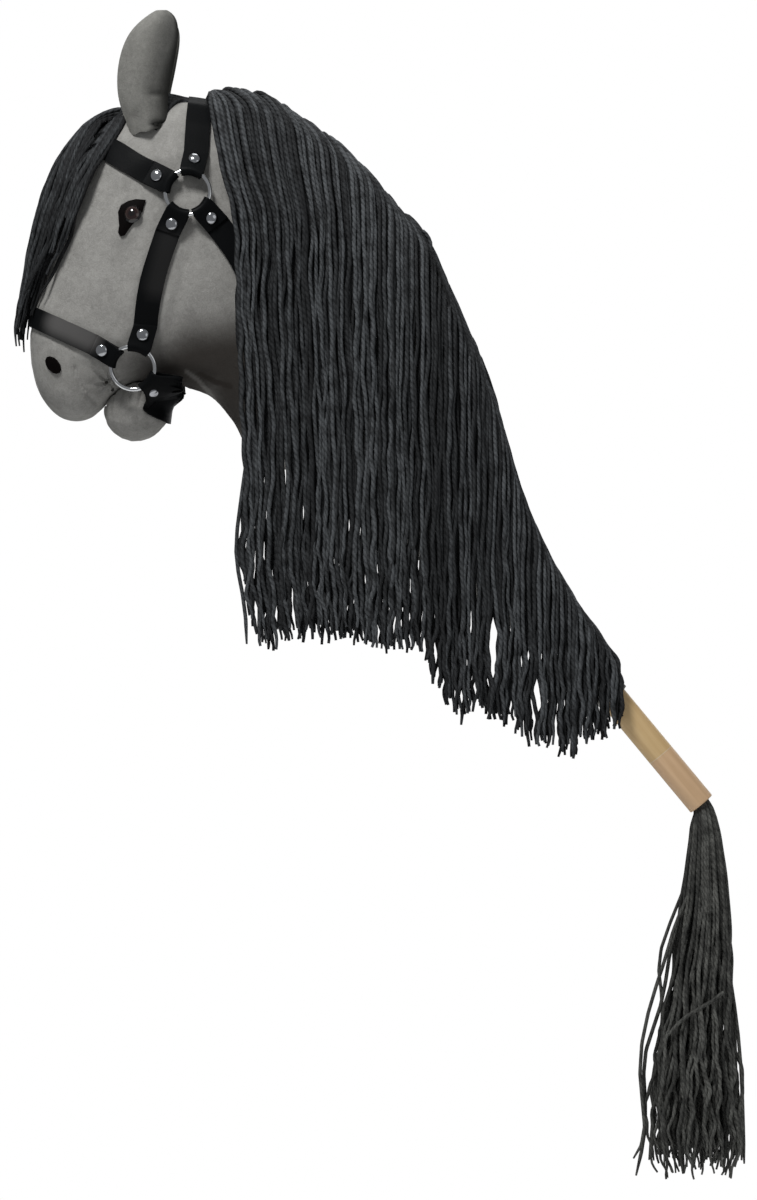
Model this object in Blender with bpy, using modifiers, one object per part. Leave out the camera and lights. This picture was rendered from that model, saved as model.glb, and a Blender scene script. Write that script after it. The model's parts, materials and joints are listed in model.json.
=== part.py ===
"""Stuffed hobby horse on a round wooden stick, with a leather halter and a yarn mane and tail.

Run with: blender --background --python part.py

Metres, +Z up. The origin is on the stick's axis at its joint line, where the hand holds it. The horse
looks along -X, and its left side, which carries the mane, is -Y. The stick slants down towards +X.
"""
import math

import bpy
import bmesh
from mathutils import Matrix, Vector
from mathutils.bvhtree import BVHTree

MM = 0.001
GAP = 0.3 * MM                      # between pieces that touch

# Stick
STICK_DIAMETER = 0.028
STICK_SLOPE = math.radians(50.3)    # below the horizontal
STICK_ABOVE_JOINT = 0.615
STICK_BELOW_JOINT = 0.0645
STICK_EDGE = 0.0010                 # broken edge at the butt
PIN_DIAMETER = 0.008
PIN_DEPTH = 0.025                   # into each length of the stick
PIN_CLEARANCE = 0.0003
TAIL_BORE_DIAMETER = 0.017
TAIL_BORE_DEPTH = 0.022

# Felt skin, stuffing and what sits on them
SKIN = 0.0020
STUFFING_CLEARANCE = 0.0006
STICK_CLEARANCE = 0.0006
SEAM_GAP = 0.0002                   # half the gap between the left and right panels
FORM_POINTS = 20                    # around the head and the neck
BODY_SPLIT_GAP = 0.0006             # between the head's and the neck's stuffing
NECK_END = 0.074                    # where the neck's skin ends, up the stick from the origin
NECK_END_PAD = 0.0032               # skin's outside beyond the stick there
TIE_RADIUS = 0.0012
TIE_SETBACK = 0.009

# Lower jaw, a stuffed pouch
JAW_CENTRE = (-0.529, 0.348)
JAW_LENGTH = 0.068
JAW_DEPTH = 0.067
JAW_WIDTH = 0.067
JAW_TILT = math.radians(10)
JAW_CUT_GAP = 0.0006

# Ears
EAR_FELT = 0.0040
EAR_SPREAD = 0.036                  # from the middle to an ear's root
EAR_LEAN = math.radians(6)          # outwards
EAR_CUP = 0.42                      # depth of the hollow as a share of the width

# Eyes and nostrils
EYE_PLACE = (-0.5345, 0.546)
EYE_DIAMETER = 0.018
EYE_HEIGHT = 0.0050
PATCH_THICKNESS = 0.0012
PATCH_CLEARANCE = 0.0009
NOSTRIL_PLACE = (-0.611, 0.391)
NOSTRIL_LENGTH = 0.021
NOSTRIL_WIDTH = 0.013
NOSTRIL_TILT = math.radians(-50)

# Halter
STRAP_WIDTH = 0.025
NOSEBAND_WIDTH = 0.021
STRAP_THICKNESS = 0.0022
STRAP_CLEARANCE = 0.0010            # between a strap and the skin
STRAP_LOOP_WIDTH = 0.018            # of a sleeve on the inside of its ring, where it is pinched
TONGUE_LENGTH = 0.0225              # folded back, from the ring's wire to its cut end
TONGUE_STEP = 0.0004                # length of the step at the cut end
RING_DIAMETER = 0.0445              # middle of the wire
WIRE_DIAMETER = 0.0045
LOOP_CLEARANCE = 0.0009            # between the wire and the inside of a sleeve
SLEEVE_CLEARANCE = 0.0007          # between a sleeve and the skin
RING_SEGMENTS = 28
WIRE_SEGMENTS = 6
LOOP_POINTS = 8                     # round a strap's sleeve
CROWN_ANGLE = 79                    # degrees, where a strap leaves its ring, from +X towards +Z
BROW_ANGLE = 151
CHEEK_TOP_ANGLE = 244
THROAT_ANGLE = 313
CHEEK_FOOT_ANGLE = 72
NOSE_ANGLE = 149
CHIN_ANGLE = 316
RIVET_HEAD_DIAMETER = 0.0125
RIVET_HEAD_HEIGHT = 0.0030
RIVET_SHANK_DIAMETER = 0.0032
RIVET_SETBACK = 0.0355              # from the ring's centre
RIVET_CLEARANCE = 0.0003
RIVET_SIDES = 10
UPPER_RING = (-0.475, 0.563)
UPPER_RING_NORMAL = (-0.02, -1.0, 0.10)
LOWER_RING = (-0.530, 0.388)
LOWER_RING_NORMAL = (-0.10, -1.0, -0.30)
CROWN_TOP = (-0.462, 0.672)         # where each strap crosses the middle plane, a little outside
BROW_FRONT = (-0.577, 0.622)
NOSE_FRONT = (-0.637, 0.443)
CHIN_FOOT = (-0.487, 0.343)
THROAT_ROUTE = [(-0.421, -0.070, 0.498), (-0.404, -0.066, 0.452), (-0.396, -0.062, 0.405),
                (-0.394, -0.055, 0.355), (-0.396, -0.044, 0.330), (-0.400, -0.032, 0.313),
                (-0.403, -0.021, 0.304), (-0.405, -0.010, 0.300), (-0.406, 0.0, 0.299)]
THROAT_STATIONS = 41
CHEEK_ROUTE = [(-0.502, -0.075, 0.500), (-0.509, -0.075, 0.475), (-0.514, -0.072, 0.452)]
CHEEK_STATIONS = 7
WRAP_STATIONS = 10                  # of half a strap that goes round the head
STRAP_ACROSS = (-0.5, -0.17, 0.17, 0.5)

# Mane, forelock and tail
TAPE_WIDTH = 0.016
TAPE_THICKNESS = 0.0015
TAPE_CLEARANCE = 0.0009
TAPE_ACROSS = (-0.5, -0.25, 0.0, 0.25, 0.5)
MANE_LIFT = 0.0068                  # from the skin to the yarn, over the tape and the straps
MANE_THICKNESS = 0.0140
MANE_TIP = 0.0080
MANE_LOCK_GAP = 0.0006              # half the gap between two locks at the crest
MANE_LOCK_PARTING = 0.0016          # how much that half gap has grown below the parting's depth
MANE_PARTING_DEPTH = 0.080
MANE_LEVELS = (0.008, 0.03, 0.075, 0.15, 0.27, 0.45, 0.70, 1.0)     # shares of the way to the middle
MANE_HANGS = 4                      # steps from there to the hem
MANE_SHORTEST = 0.012               # least that it hangs below the neck's middle
MANE_COLUMNS = 3                    # of a lock
FORELOCK_LIFT = 0.0062
FORELOCK_THICKNESS = 0.012
TAIL_PIVOT_DROP = 0.0110            # below the butt
TAIL_CAP_CLEARANCE = 0.0006

STICK_RADIUS = STICK_DIAMETER / 2
RING_RADIUS = RING_DIAMETER / 2
WIRE_RADIUS = WIRE_DIAMETER / 2
DOWN_STICK = Vector((math.cos(STICK_SLOPE), 0.0, -math.sin(STICK_SLOPE)))
OVER_STICK = Vector((math.sin(STICK_SLOPE), 0.0, math.cos(STICK_SLOPE)))
SIDE = Vector((0.0, -1.0, 0.0))

# How much fuller than an ellipse a section is, over and under its middle.
FULL_ABOVE = 0.08
FULL_BELOW = 0.20

# Sections of the head from the muzzle to the poll, in mm: a point on the front or upper outline, the
# point opposite on the lower outline, and half the width.
HEAD_TIP = (-608, 341)
HEAD_SECTIONS = [
    (-617, 350, -598, 337, 15),
    (-625, 362, -585, 336, 28),
    (-632, 382, -570, 342, 39),
    (-636, 412, -551, 362, 46),
    (-632, 451, -529, 374, 51),
    (-623, 486, -505, 375, 56),
    (-613, 526, -484, 372, 60),
    (-601, 566, -472, 368, 62),
    (-580, 609, -463, 365, 62),
    (-545, 650, -456, 362, 60),
    (-498, 663, -450, 358, 58),
    (-448, 657, -443, 351, 57),
]
# Sections of the upper neck in the same form.
NECK_SECTIONS = [
    (-393, 646, -437, 343, 56),
    (-338, 614, -431, 335, 55),
    (-288, 566, -425, 322, 54),
    (-242, 501, -416, 304, 52),
]
# Lower neck, in mm: distance up the stick from the origin, and how far the skin stands out from the
# stick's surface above, below and beside it.
NECK_ON_STICK = [
    (456, 94, 91, 35),
    (385, 71, 71, 29),
    (311, 42, 50, 22),
    (238, 18, 31, 15),
    (165, 7, 15, 8.5),
]
EAR_ROWS = [                        # mm: front edge x, z and rear edge x, z, from the root to the tip
    (-531, 622, -499, 630),
    (-537, 637, -497, 638),
    (-542, 652, -498, 655),
    (-545, 671, -496, 674),
    (-544, 692, -491, 695),
    (-539, 711, -487.5, 716),
    (-530, 727, -486.5, 731),
    (-517, 738, -490, 741),
    (-507, 744, -497, 745),
]
EYE_PATCH = [                       # mm from the eye's centre, forwards and upwards
    (17.5, 10), (14.5, -2), (9.5, -10), (3.5, -16), (-3.5, -26), (-7.5, -27), (-10.5, -23),
    (-9.5, -16), (-10.5, -2), (-7.5, 5), (-0.5, 9), (7.5, 11),
]
MANE_CREST = [                      # mm: x where locks meet
    -455, -392, -328, -262, -192, -113, -36,
]
MANE_ROLL = [                       # mm: x, thickness of the yarn where it lies over the crest
    (-455, 4), (-434, 14), (-413, 14.5), (-392, 11.5), (-371, 8), (-349, 7), (-328, 5.5),
    (-306, 5.5), (-284, 3.5), (-262, 6), (-239, 8), (-215, 9.5), (-192, 11.5), (-166, 10),
    (-139, 2.5), (-113, 2.5), (-87, 2.5), (-62, 2.5), (-36, 3),
]
MANE_HEM = [                        # mm: x, z of the bottom edge
    (-455, 200), (-416, 118), (-360, 124), (-300, 122), (-240, 112), (-205, 44), (-165, 50),
    (-128, 18), (-95, 0), (-70, 16), (-45, 30), (-28, 54),
]
MANE_FRONT = [                      # mm: z, x of the front edge, from the hem to the poll
    (118, -417), (199, -424), (286, -420), (356, -423), (456, -429), (516, -428), (546, -431),
    (576, -441), (606, -448), (656, -457),
]
FORELOCK_ROWS = [                   # mm: height and half width, from the poll to the tips
    (640, 15), (622, 28), (598, 40), (572, 47), (540, 45), (508, 42), (484, 34), (458, 28),
    (432, 24), (412, 19),
]
TAIL_ROWS = [                       # mm: front x, z, rear x, z, half width
    (26, -76, 60, -80, 15),
    (22, -105, 67, -115, 19),
    (18, -150, 72, -158, 23),
    (10, -200, 76, -205, 28),
    (0, -252, 80, -258, 33),
    (-10, -300, 84, -305, 36),
    (-14, -345, 88, -350, 37),
    (-10, -385, 90, -392, 36),
    (-6, -412, 88, -415, 33),
    (4, -426, 78, -427, 22),
]


# Small helpers

def remove_scene_objects():
    for thing in list(bpy.data.objects):
        bpy.data.objects.remove(thing, do_unlink=True)


def collection(name):
    group = bpy.data.collections.new(name)
    bpy.context.scene.collection.children.link(group)
    return group


def material(name, colour, roughness, metallic=0.0):
    finish = bpy.data.materials.new(name)
    finish.use_nodes = True
    shader = finish.node_tree.nodes["Principled BSDF"]
    shader.inputs["Base Color"].default_value = (*colour, 1.0)
    shader.inputs["Roughness"].default_value = roughness
    shader.inputs["Metallic"].default_value = metallic
    finish.diffuse_color = (*colour, 1.0)
    return finish


def place(thing, group, finish=None):
    for home in list(thing.users_collection):
        home.objects.unlink(thing)
    group.objects.link(thing)
    if finish is not None:
        thing.data.materials.clear()
        thing.data.materials.append(finish)
    return thing


def mesh_object(name, points, faces, group, finish=None):
    """An object from points and faces, with its faces turned outwards."""
    mesh = bpy.data.meshes.new(name)
    mesh.from_pydata([tuple(p) for p in points], [], faces)
    work = bmesh.new()
    work.from_mesh(mesh)
    bmesh.ops.recalc_face_normals(work, faces=work.faces)
    bmesh.ops.triangulate(work, faces=work.faces)
    work.to_mesh(mesh)
    work.free()
    mesh.shade_smooth()
    mesh.set_sharp_from_angle(angle=math.radians(40))
    thing = bpy.data.objects.new(name, mesh)
    return place(thing, group, finish)


def smooth_between(rows, share):
    """The Catmull-Rom curve through equally long rows of numbers, at a share from 0 to 1."""
    last = len(rows) - 1
    at = min(max(share, 0.0), 1.0) * last
    k = min(int(at), last - 1)
    t = at - k
    before = rows[max(k - 1, 0)]
    after = rows[min(k + 2, last)]
    return [
        0.5 * (2 * b + (c - a) * t + (2 * a - 5 * b + 4 * c - d) * t * t + (3 * b - a - 3 * c + d) * t ** 3)
        for a, b, c, d in zip(before, rows[k], rows[k + 1], after)
    ]


def along(rows, x):
    """The straight line through (x, value) rows."""
    for (x0, v0), (x1, v1) in zip(rows, rows[1:]):
        if x <= x1:
            return v0 + (v1 - v0) * max(x - x0, 0.0) / (x1 - x0)
    return rows[-1][1]


def axis_frame(centre, axis, across):
    """The matrix that puts local Z on an axis and local X near another direction."""
    z = axis.normalized()
    y = z.cross(across).normalized()
    x = y.cross(z)
    turn = Matrix((x, y, z)).transposed().to_4x4()
    return Matrix.Translation(centre) @ turn


# Stuffed forms: sections of (front point, rear point, half width)

def head_rows():
    return [[v * MM for v in row] + [1.0] for row in HEAD_SECTIONS]


def stick_section(up, above, below, beside, fullness):
    centre = -DOWN_STICK * up
    high = centre + OVER_STICK * (STICK_RADIUS + above)
    low = centre - OVER_STICK * (STICK_RADIUS + below)
    return [high.x, high.z, low.x, low.z, STICK_RADIUS + beside, fullness]


def neck_rows():
    rows = [[v * MM for v in row] + [1.0] for row in NECK_SECTIONS]
    count = len(NECK_ON_STICK)
    for k, row in enumerate(NECK_ON_STICK):
        rows.append(stick_section(*[v * MM for v in row], 1 - (k + 1) / count))
    pad = NECK_END_PAD
    for up in (NECK_END + 2 * TIE_SETBACK, NECK_END):
        rows.append(stick_section(up, pad, pad, pad, 0.0))
    return rows


def section_ring(row, inset, start=0.0, turn=2 * math.pi, count=FORM_POINTS, ends=False):
    """Points of one section, from the front point round the near side."""
    high = Vector((row[0], 0.0, row[1]))
    low = Vector((row[2], 0.0, row[3]))
    centre = (high + low) / 2
    arm = high - centre
    reach = arm.length - inset
    arm.normalize()
    width = row[4] - inset
    total = count + 1 if ends else count
    ring = []
    for k in range(total):
        angle = start + turn * k / count
        c = math.cos(angle)
        s = math.sin(angle)
        full = (FULL_BELOW if c < 0 else FULL_ABOVE) * row[5]
        out = math.copysign(abs(s) ** (1 - full), s)
        ring.append(centre + arm * reach * c + SIDE * width * out)
    return ring


def form_rows(rows, pieces):
    """More sections between the given ones, along a smooth curve."""
    count = (len(rows) - 1) * pieces
    return [smooth_between(rows, k / count) for k in range(count + 1)]


def split_quad(a, b, c, d, far):
    """A four-sided face as two triangles, cut the same way on both sides of the middle plane."""
    return [(a, b, d), (b, c, d)] if far else [(a, b, c), (a, c, d)]


def tip_point(inset):
    tip = Vector((HEAD_TIP[0] * MM, 0.0, HEAD_TIP[1] * MM))
    row = head_rows()[1]
    middle = Vector(((row[0] + row[2]) / 2, 0.0, (row[1] + row[3]) / 2))
    return tip + (middle - tip).normalized() * inset * 1.4


def all_rows():
    head = form_rows(head_rows(), 2)
    neck = form_rows(head_rows()[-2:] + neck_rows(), 1)[2:]
    return head, neck


def closed_form(name, rows, inset, group, finish=None, tip=None, spread=0.0):
    """A solid through the sections, closed by a tip point or a flat first section, and a flat last."""
    rings = [section_ring(row, inset) for row in rows]
    points = [p for ring in rings for p in ring]
    for p in points:
        if abs(p.y) > spread:
            p.y += math.copysign(spread, p.y)
    n = FORM_POINTS
    faces = []
    for k in range(len(rings) - 1):
        for i in range(n):
            j = (i + 1) % n
            far = i >= n // 2
            faces += split_quad(k * n + i, k * n + j, (k + 1) * n + j, (k + 1) * n + i, far)
    if tip is not None:
        points.append(tip)
        faces += [(len(points) - 1, (i + 1) % n, i) for i in range(n)]
    else:
        faces.append(tuple(range(n)))
    last = (len(rings) - 1) * n
    faces.append(tuple(range(last, last + n)))
    return mesh_object(name, points, faces, group, finish)


def skin_panel(name, rows, mirror, group, finish):
    """One sewn side of the skin: a half shell from the muzzle to the neck's end."""
    half = FORM_POINTS // 2
    n = half + 1
    outside = [section_ring(row, 0.0, 0.0, math.pi, half, ends=True) for row in rows]
    inside = [section_ring(row, SKIN, 0.0, math.pi, half, ends=True) for row in rows]
    points = [p.copy() for ring in outside + inside for p in ring]
    points.append(tip_point(0.0))
    points.append(tip_point(SKIN))
    for p in points:
        p.y -= SEAM_GAP
        if mirror:
            p.y = -p.y
    shift = len(rows) * n
    outer_tip = 2 * shift
    inner_tip = outer_tip + 1
    faces = []
    for k in range(len(rows) - 1):
        for i in range(half):
            a = k * n + i
            b = (k + 1) * n + i
            for triangle in split_quad(a, a + 1, b + 1, b, False):
                faces.append(triangle)
                faces.append(tuple(v + shift for v in triangle[::-1]))
        for i in (0, half):
            a = k * n + i
            b = (k + 1) * n + i
            faces.append((a, b, b + shift, a + shift))
    for i in range(half):
        faces.append((outer_tip, i + 1, i))
        faces.append((inner_tip, i + shift, i + 1 + shift))
        a = (len(rows) - 1) * n + i
        faces.append((a, a + 1, a + 1 + shift, a + shift))
    faces.append((outer_tip, 0, shift, inner_tip))
    faces.append((outer_tip, half, half + shift, inner_tip))
    return mesh_object(name, points, faces, group, finish)


# Cuts

def cutter(thing, group):
    place(thing, group)
    thing.hide_render = True
    thing.display_type = "WIRE"
    return thing


def cylinder(name, low, high, radius, group, finish=None, segments=24):
    bpy.ops.mesh.primitive_cylinder_add(vertices=segments, radius=radius, depth=(high - low).length)
    thing = bpy.context.active_object
    thing.name = name
    thing.data.name = name
    thing.matrix_world = axis_frame((low + high) / 2, high - low, Vector((0, 1, 0)))
    thing.data.shade_smooth()
    thing.data.set_sharp_from_angle(angle=math.radians(40))
    return place(thing, group, finish)


def cut(thing, tool):
    boolean = thing.modifiers.new("cut " + tool.name, "BOOLEAN")
    boolean.operation = "DIFFERENCE"
    boolean.solver = "EXACT"
    boolean.object = tool


# What lies on the skin

class Surface:
    """The outside of the stuffed forms, for laying pieces on it."""

    def __init__(self, things):
        points = []
        faces = []
        depsgraph = bpy.context.evaluated_depsgraph_get()
        for thing in things:
            shape = thing.evaluated_get(depsgraph)
            mesh = shape.to_mesh()
            base = len(points)
            points += [thing.matrix_world @ v.co for v in mesh.vertices]
            faces += [tuple(base + i for i in face.vertices) for face in mesh.polygons]
            shape.to_mesh_clear()
        self.tree = BVHTree.FromPolygons(points, faces)

    def nearest(self, point):
        """The skin's point nearest to one outside it, and the direction away from the skin there."""
        place_on, normal, _, _ = self.tree.find_nearest(point)
        away = point - place_on
        if away.length > 2 * MM:
            normal = away.normalized()
        return place_on, normal

    def cast(self, start, direction):
        hit, normal, _, _ = self.tree.ray_cast(start, direction)
        return hit, normal

    def half_width(self, x, z):
        """How far the near side stands out at a place in the side view, or None beside it."""
        hit, _ = self.cast(Vector((x, -0.4, z)), -SIDE)
        return None if hit is None else -hit.y


class RingFrame:
    """Where a halter ring lies: its centre, and its normal away from the head.

    The ring lies just high enough for the sleeves of its straps to clear the skin.
    """

    def __init__(self, place_xz, normal, angles, surface):
        self.normal = normal.normalized()
        middle = Vector((place_xz[0], -0.05, place_xz[1]))
        heights = []
        outer = loop_outer()
        for angle in angles:
            e, b = self.directions(angle)
            for side in (-1, 0, 1):
                for o in (-0.5, 0.0, 0.5):
                    spot = middle + e * (RING_RADIUS + outer * side) + b * sleeve_width(STRAP_WIDTH, side) * o
                    hit, _ = surface.cast(spot + self.normal * 0.2, -self.normal)
                    if hit is not None:
                        heights.append((hit - middle).dot(self.normal))
        rise = max(heights) + outer + SLEEVE_CLEARANCE
        self.centre = middle + SIDE * (rise / -self.normal.y)

    def directions(self, angle):
        """Unit vectors in the ring's plane: along a strap that leaves at this angle, and across it."""
        seen = Vector((math.cos(math.radians(angle)), 0.0, math.sin(math.radians(angle))))
        e = (seen - self.normal * seen.dot(self.normal)).normalized()
        return e, e.cross(self.normal).normalized()


def loop_inner():
    return (WIRE_RADIUS + LOOP_CLEARANCE) / math.cos(math.pi / 8)


def loop_outer():
    return loop_inner() + STRAP_THICKNESS


def sleeve_width(width, side):
    """A sleeve's width: the strap's own outside the ring, at side 1, and pinched inside it, at -1."""
    return STRAP_LOOP_WIDTH + (width - STRAP_LOOP_WIDTH) * (1 + side) / 2


class Strap:
    """A strap built station by station, with a loop round a ring at either end."""

    def __init__(self, across=STRAP_ACROSS):
        self.across = across
        self.points = []
        self.faces = []

    def add(self, rows):
        first = len(self.points)
        self.points += rows
        return list(range(first, first + len(rows)))

    def loop(self, frame, angle, width):
        """The sleeve round the ring's wire. Returns the station that the band starts from."""
        e, b = frame.directions(angle)
        outer = []
        inner = []
        for radius, store in ((loop_outer(), outer), (loop_inner(), inner)):
            for k in range(LOOP_POINTS):
                psi = math.pi / LOOP_POINTS * (1 + 2 * k)
                row = []
                for share in self.across:
                    o = share * sleeve_width(width, math.cos(psi))
                    slant = math.sqrt(1 - (o / RING_RADIUS) ** 2)
                    reach = RING_RADIUS * slant + radius * math.cos(psi) / slant
                    row.append(frame.centre + e * reach + b * o + frame.normal * radius * math.sin(psi))
                store.append(self.add(row))
        n = len(self.across)
        for k in range(LOOP_POINTS):
            j = (k + 1) % LOOP_POINTS
            for i in range(n - 1):
                if j != 0:
                    self.faces.append((outer[k][i], outer[k][i + 1], outer[j][i + 1], outer[j][i]))
                self.faces.append((inner[k][i], inner[j][i], inner[j][i + 1], inner[k][i + 1]))
            for i in (0, n - 1):
                self.faces.append((outer[k][i], outer[j][i], inner[j][i], inner[k][i]))
        return outer[-1], outer[0]

    def join(self, one, two):
        """Band faces between two stations, each a (bottom, top) pair of index rows."""
        n = len(self.across)
        for i in range(n - 1):
            self.faces.append((one[0][i], two[0][i], two[0][i + 1], one[0][i + 1]))
            self.faces.append((one[1][i], one[1][i + 1], two[1][i + 1], two[1][i]))
        for i in (0, n - 1):
            self.faces.append((one[0][i], one[1][i], two[1][i], two[0][i]))

    def station(self, bottom, top):
        return self.add(bottom), self.add(top)

    def cap(self, one):
        n = len(self.across)
        for i in range(n - 1):
            self.faces.append((one[0][i], one[0][i + 1], one[1][i + 1], one[1][i]))


def lie_on(surface, point, tangent, width, thickness, clearance, shares=STRAP_ACROSS):
    """One station of a band lying on the skin: its bottom and top rows."""
    spot, normal = surface.nearest(point)
    across = tangent.cross(normal).normalized()
    bottom = []
    top = []
    for share in shares:
        q, _ = surface.nearest(spot + across * share * width + normal * 0.006)
        bottom.append(q + normal * clearance)
        top.append(q + normal * (clearance + thickness))
    return bottom, top


def bridge_round(centre):
    """A way to lay a band round a ball: straight across, and resting on what stands highest under it."""
    def lay(surface, point, tangent, width, thickness, clearance, shares=STRAP_ACROSS):
        across = tangent.cross(point - centre).normalized()
        normal = across.cross(tangent).normalized()
        heights = []
        for share in (-0.5, -0.25, 0.0, 0.25, 0.5):
            hit, _ = surface.cast(point + across * share * width + normal * 2 * width, -normal)
            if hit is not None:
                heights.append((hit - point).dot(normal))
        lift = max(heights) + clearance
        bottom = [point + across * share * width + normal * lift for share in shares]
        top = [p + normal * thickness for p in bottom]
        return bottom, top
    return lay


def path_tangent(path, k):
    return (path[min(k + 1, len(path) - 1)] - path[max(k - 1, 0)]).normalized()


def tongue_end(frame, angle):
    e, _ = frame.directions(angle)
    return frame.centre + e * (RING_RADIUS + TONGUE_LENGTH)


def smooth_path(points, count):
    """More points on the smooth curve through a path's own points."""
    rows = [list(p) for p in points]
    return [Vector(smooth_between(rows, k / (count - 1))) for k in range(count)]


def band_stations(strap, surface, path, width, lay=lie_on):
    """Stations of a band along a path. Both ends are folded back, so they are twice as thick."""
    made = []
    for k, point in enumerate(path):
        tangent = path_tangent(path, k)
        if k in (0, len(path) - 1):
            thick = lay(surface, point, tangent, width, 2 * STRAP_THICKNESS, STRAP_CLEARANCE)
            step = tangent * TONGUE_STEP * (1 if k == 0 else -1)
            thin = lay(surface, point + step, tangent, width, STRAP_THICKNESS, STRAP_CLEARANCE)
            thin = [[p + step for p in row] for row in thin]
            pair = [strap.station(*thick), strap.station(*thin)]
            made += pair if k == 0 else pair[::-1]
        else:
            flat = lay(surface, point, tangent, width, STRAP_THICKNESS, STRAP_CLEARANCE)
            made.append(strap.station(*flat))
    return made


def mirror_y(point):
    return Vector((point.x, -point.y, point.z))


def rounded_path(start, middle_xz):
    """Half a wrap: from a point on the near side to the middle plane, then on to the far side."""
    reach = abs(start.y)
    half = []
    x1 = middle_xz[0]
    z1 = middle_xz[1]
    for k in range(WRAP_STATIONS):
        turn = math.pi / 2 * k / WRAP_STATIONS
        blend = math.sin(turn)
        half.append(Vector((start.x + (x1 - start.x) * blend, -reach * math.cos(turn),
                            start.z + (z1 - start.z) * blend)))
    middle = Vector((x1, 0.0, z1))
    return half + [middle] + [mirror_y(p) for p in half[::-1]]


def wrap_strap(name, frame, angle, path, width, surface, group, finish, lay=lie_on):
    """A strap from the left ring, over or under the head, to the right ring."""
    strap = Strap()
    near = strap.loop(frame, angle, width)
    band = band_stations(strap, surface, path, width, lay)
    count = len(strap.points)
    far_strap = Strap()
    far = far_strap.loop(frame, angle, width)
    strap.points += [mirror_y(p) for p in far_strap.points]
    strap.faces += [tuple(count + i for i in face) for face in far_strap.faces]
    far = tuple([count + i for i in row] for row in far)
    stations = [near] + band + [far]
    for one, two in zip(stations, stations[1:]):
        strap.join(one, two)
    return mesh_object(name, strap.points, strap.faces, group, finish)


def side_strap(name, frame_a, angle_a, frame_b, angle_b, path, surface, mirror, group, finish):
    """A strap between two rings of one side."""
    strap = Strap()
    start = strap.loop(frame_a, angle_a, STRAP_WIDTH)
    band = band_stations(strap, surface, path, STRAP_WIDTH)
    end = strap.loop(frame_b, angle_b, STRAP_WIDTH)
    end = tuple(row[::-1] for row in end)
    stations = [start] + band + [end]
    for one, two in zip(stations, stations[1:]):
        strap.join(one, two)
    points = [mirror_y(p) if mirror else p for p in strap.points]
    return mesh_object(name, points, strap.faces, group, finish)


def rivet_mesh():
    """Half the outline of a capped rivet, from the top of its dome to the foot of its shank."""
    radius = RIVET_HEAD_DIAMETER / 2
    shank = RIVET_SHANK_DIAMETER / 2
    outline = []
    arcs = 3
    for k in range(arcs + 1):
        turn = math.pi / 2 * k / arcs
        outline.append((radius * math.sin(turn), 0.0, RIVET_HEAD_HEIGHT * math.cos(turn)))
    outline.append((shank, 0.0, 0.0))
    outline.append((shank, 0.0, -2 * STRAP_THICKNESS))
    outline.append((0.0, 0.0, -2 * STRAP_THICKNESS))
    mesh = bpy.data.meshes.new("rivet")
    mesh.from_pydata(outline, [(k, k + 1) for k in range(len(outline) - 1)], [])
    return mesh


def add_screw(thing, steps):
    screw = thing.modifiers.new("turn", "SCREW")
    screw.steps = steps
    screw.render_steps = steps
    screw.use_merge_vertices = True
    screw.merge_threshold = 0.00002
    screw.use_smooth_shade = True


def seat_height(strap, seat, up, run):
    """How far a rivet's head must rise from a place to clear the strap under its whole rim."""
    points = [v.co for v in strap.data.vertices]
    tree = BVHTree.FromPolygons(points, [tuple(face.vertices) for face in strap.data.polygons])
    aside = up.cross(run).normalized()
    along_run = run.normalized()
    heights = []
    for share in (0.0, 0.5, 0.8, 1.05):
        for k in range(24):
            turn = math.pi / 12 * k
            reach = RIVET_HEAD_DIAMETER / 2 * share
            spot = seat + (along_run * math.cos(turn) + aside * math.sin(turn)) * reach
            hit, _, _, _ = tree.ray_cast(spot + up * 0.02, -up)
            if hit is not None:
                heights.append((hit - seat).dot(up))
    return max(heights)


def rivet(name, mesh, strap, near_strap, frame, angle, surface, mirror, group, cutters, finish):
    """A rivet through a strap's folded tongue, and the hole that it goes through."""
    e, b = frame.directions(angle)
    start = frame.centre + e * (RING_RADIUS + loop_outer() * math.cos(math.pi / 8))
    end, normal = surface.nearest(tongue_end(frame, angle))
    end += normal * (STRAP_CLEARANCE + STRAP_THICKNESS)
    run = end - start
    share = (RIVET_SETBACK - (start - frame.centre).length) / run.length
    up = b.cross(run).normalized()
    if up.dot(frame.normal) < 0:
        up = -up
    seat = start + run * share
    seat += up * (seat_height(near_strap, seat, up, run) + RIVET_CLEARANCE)
    if mirror:
        seat = mirror_y(seat)
        up = mirror_y(up)
        run = mirror_y(run)
    thing = bpy.data.objects.new(name, mesh)
    place(thing, group)
    if not mesh.materials:
        mesh.materials.append(finish)
    thing.matrix_world = axis_frame(seat, up, run)
    add_screw(thing, RIVET_SIDES)
    reach = 4 * STRAP_THICKNESS
    tool = cylinder(name + "_hole", seat - up * reach, seat + up * reach,
                    RIVET_SHANK_DIAMETER / 2 + RIVET_CLEARANCE, cutters, segments=12)
    cutter(tool, cutters)
    cut(strap, tool)


def patch(name, outline, surface, mirror, clearance, group, finish):
    """A thin piece glued on the skin: an outline in the side view, laid on the near side."""
    centre = sum((Vector((x, z)) for x, z in outline), Vector((0.0, 0.0))) / len(outline)
    bottom = []
    top = []
    for x, z in list(outline) + [tuple(centre)]:
        hit, _ = surface.cast(Vector((x, -0.4, z)), -SIDE)
        spot, normal = surface.nearest(hit + SIDE * 0.004)
        bottom.append(spot + normal * clearance)
        top.append(spot + normal * (clearance + PATCH_THICKNESS))
    n = len(outline)
    points = bottom + top
    if mirror:
        points = [mirror_y(p) for p in points]
    faces = []
    for i in range(n):
        j = (i + 1) % n
        faces.append((i, j, n))
        faces.append((n + 1 + i, 2 * n + 1, n + 1 + j))
        faces.append((i, n + 1 + i, n + 1 + j, j))
    return mesh_object(name, points, faces, group, finish)


# The stick

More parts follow.
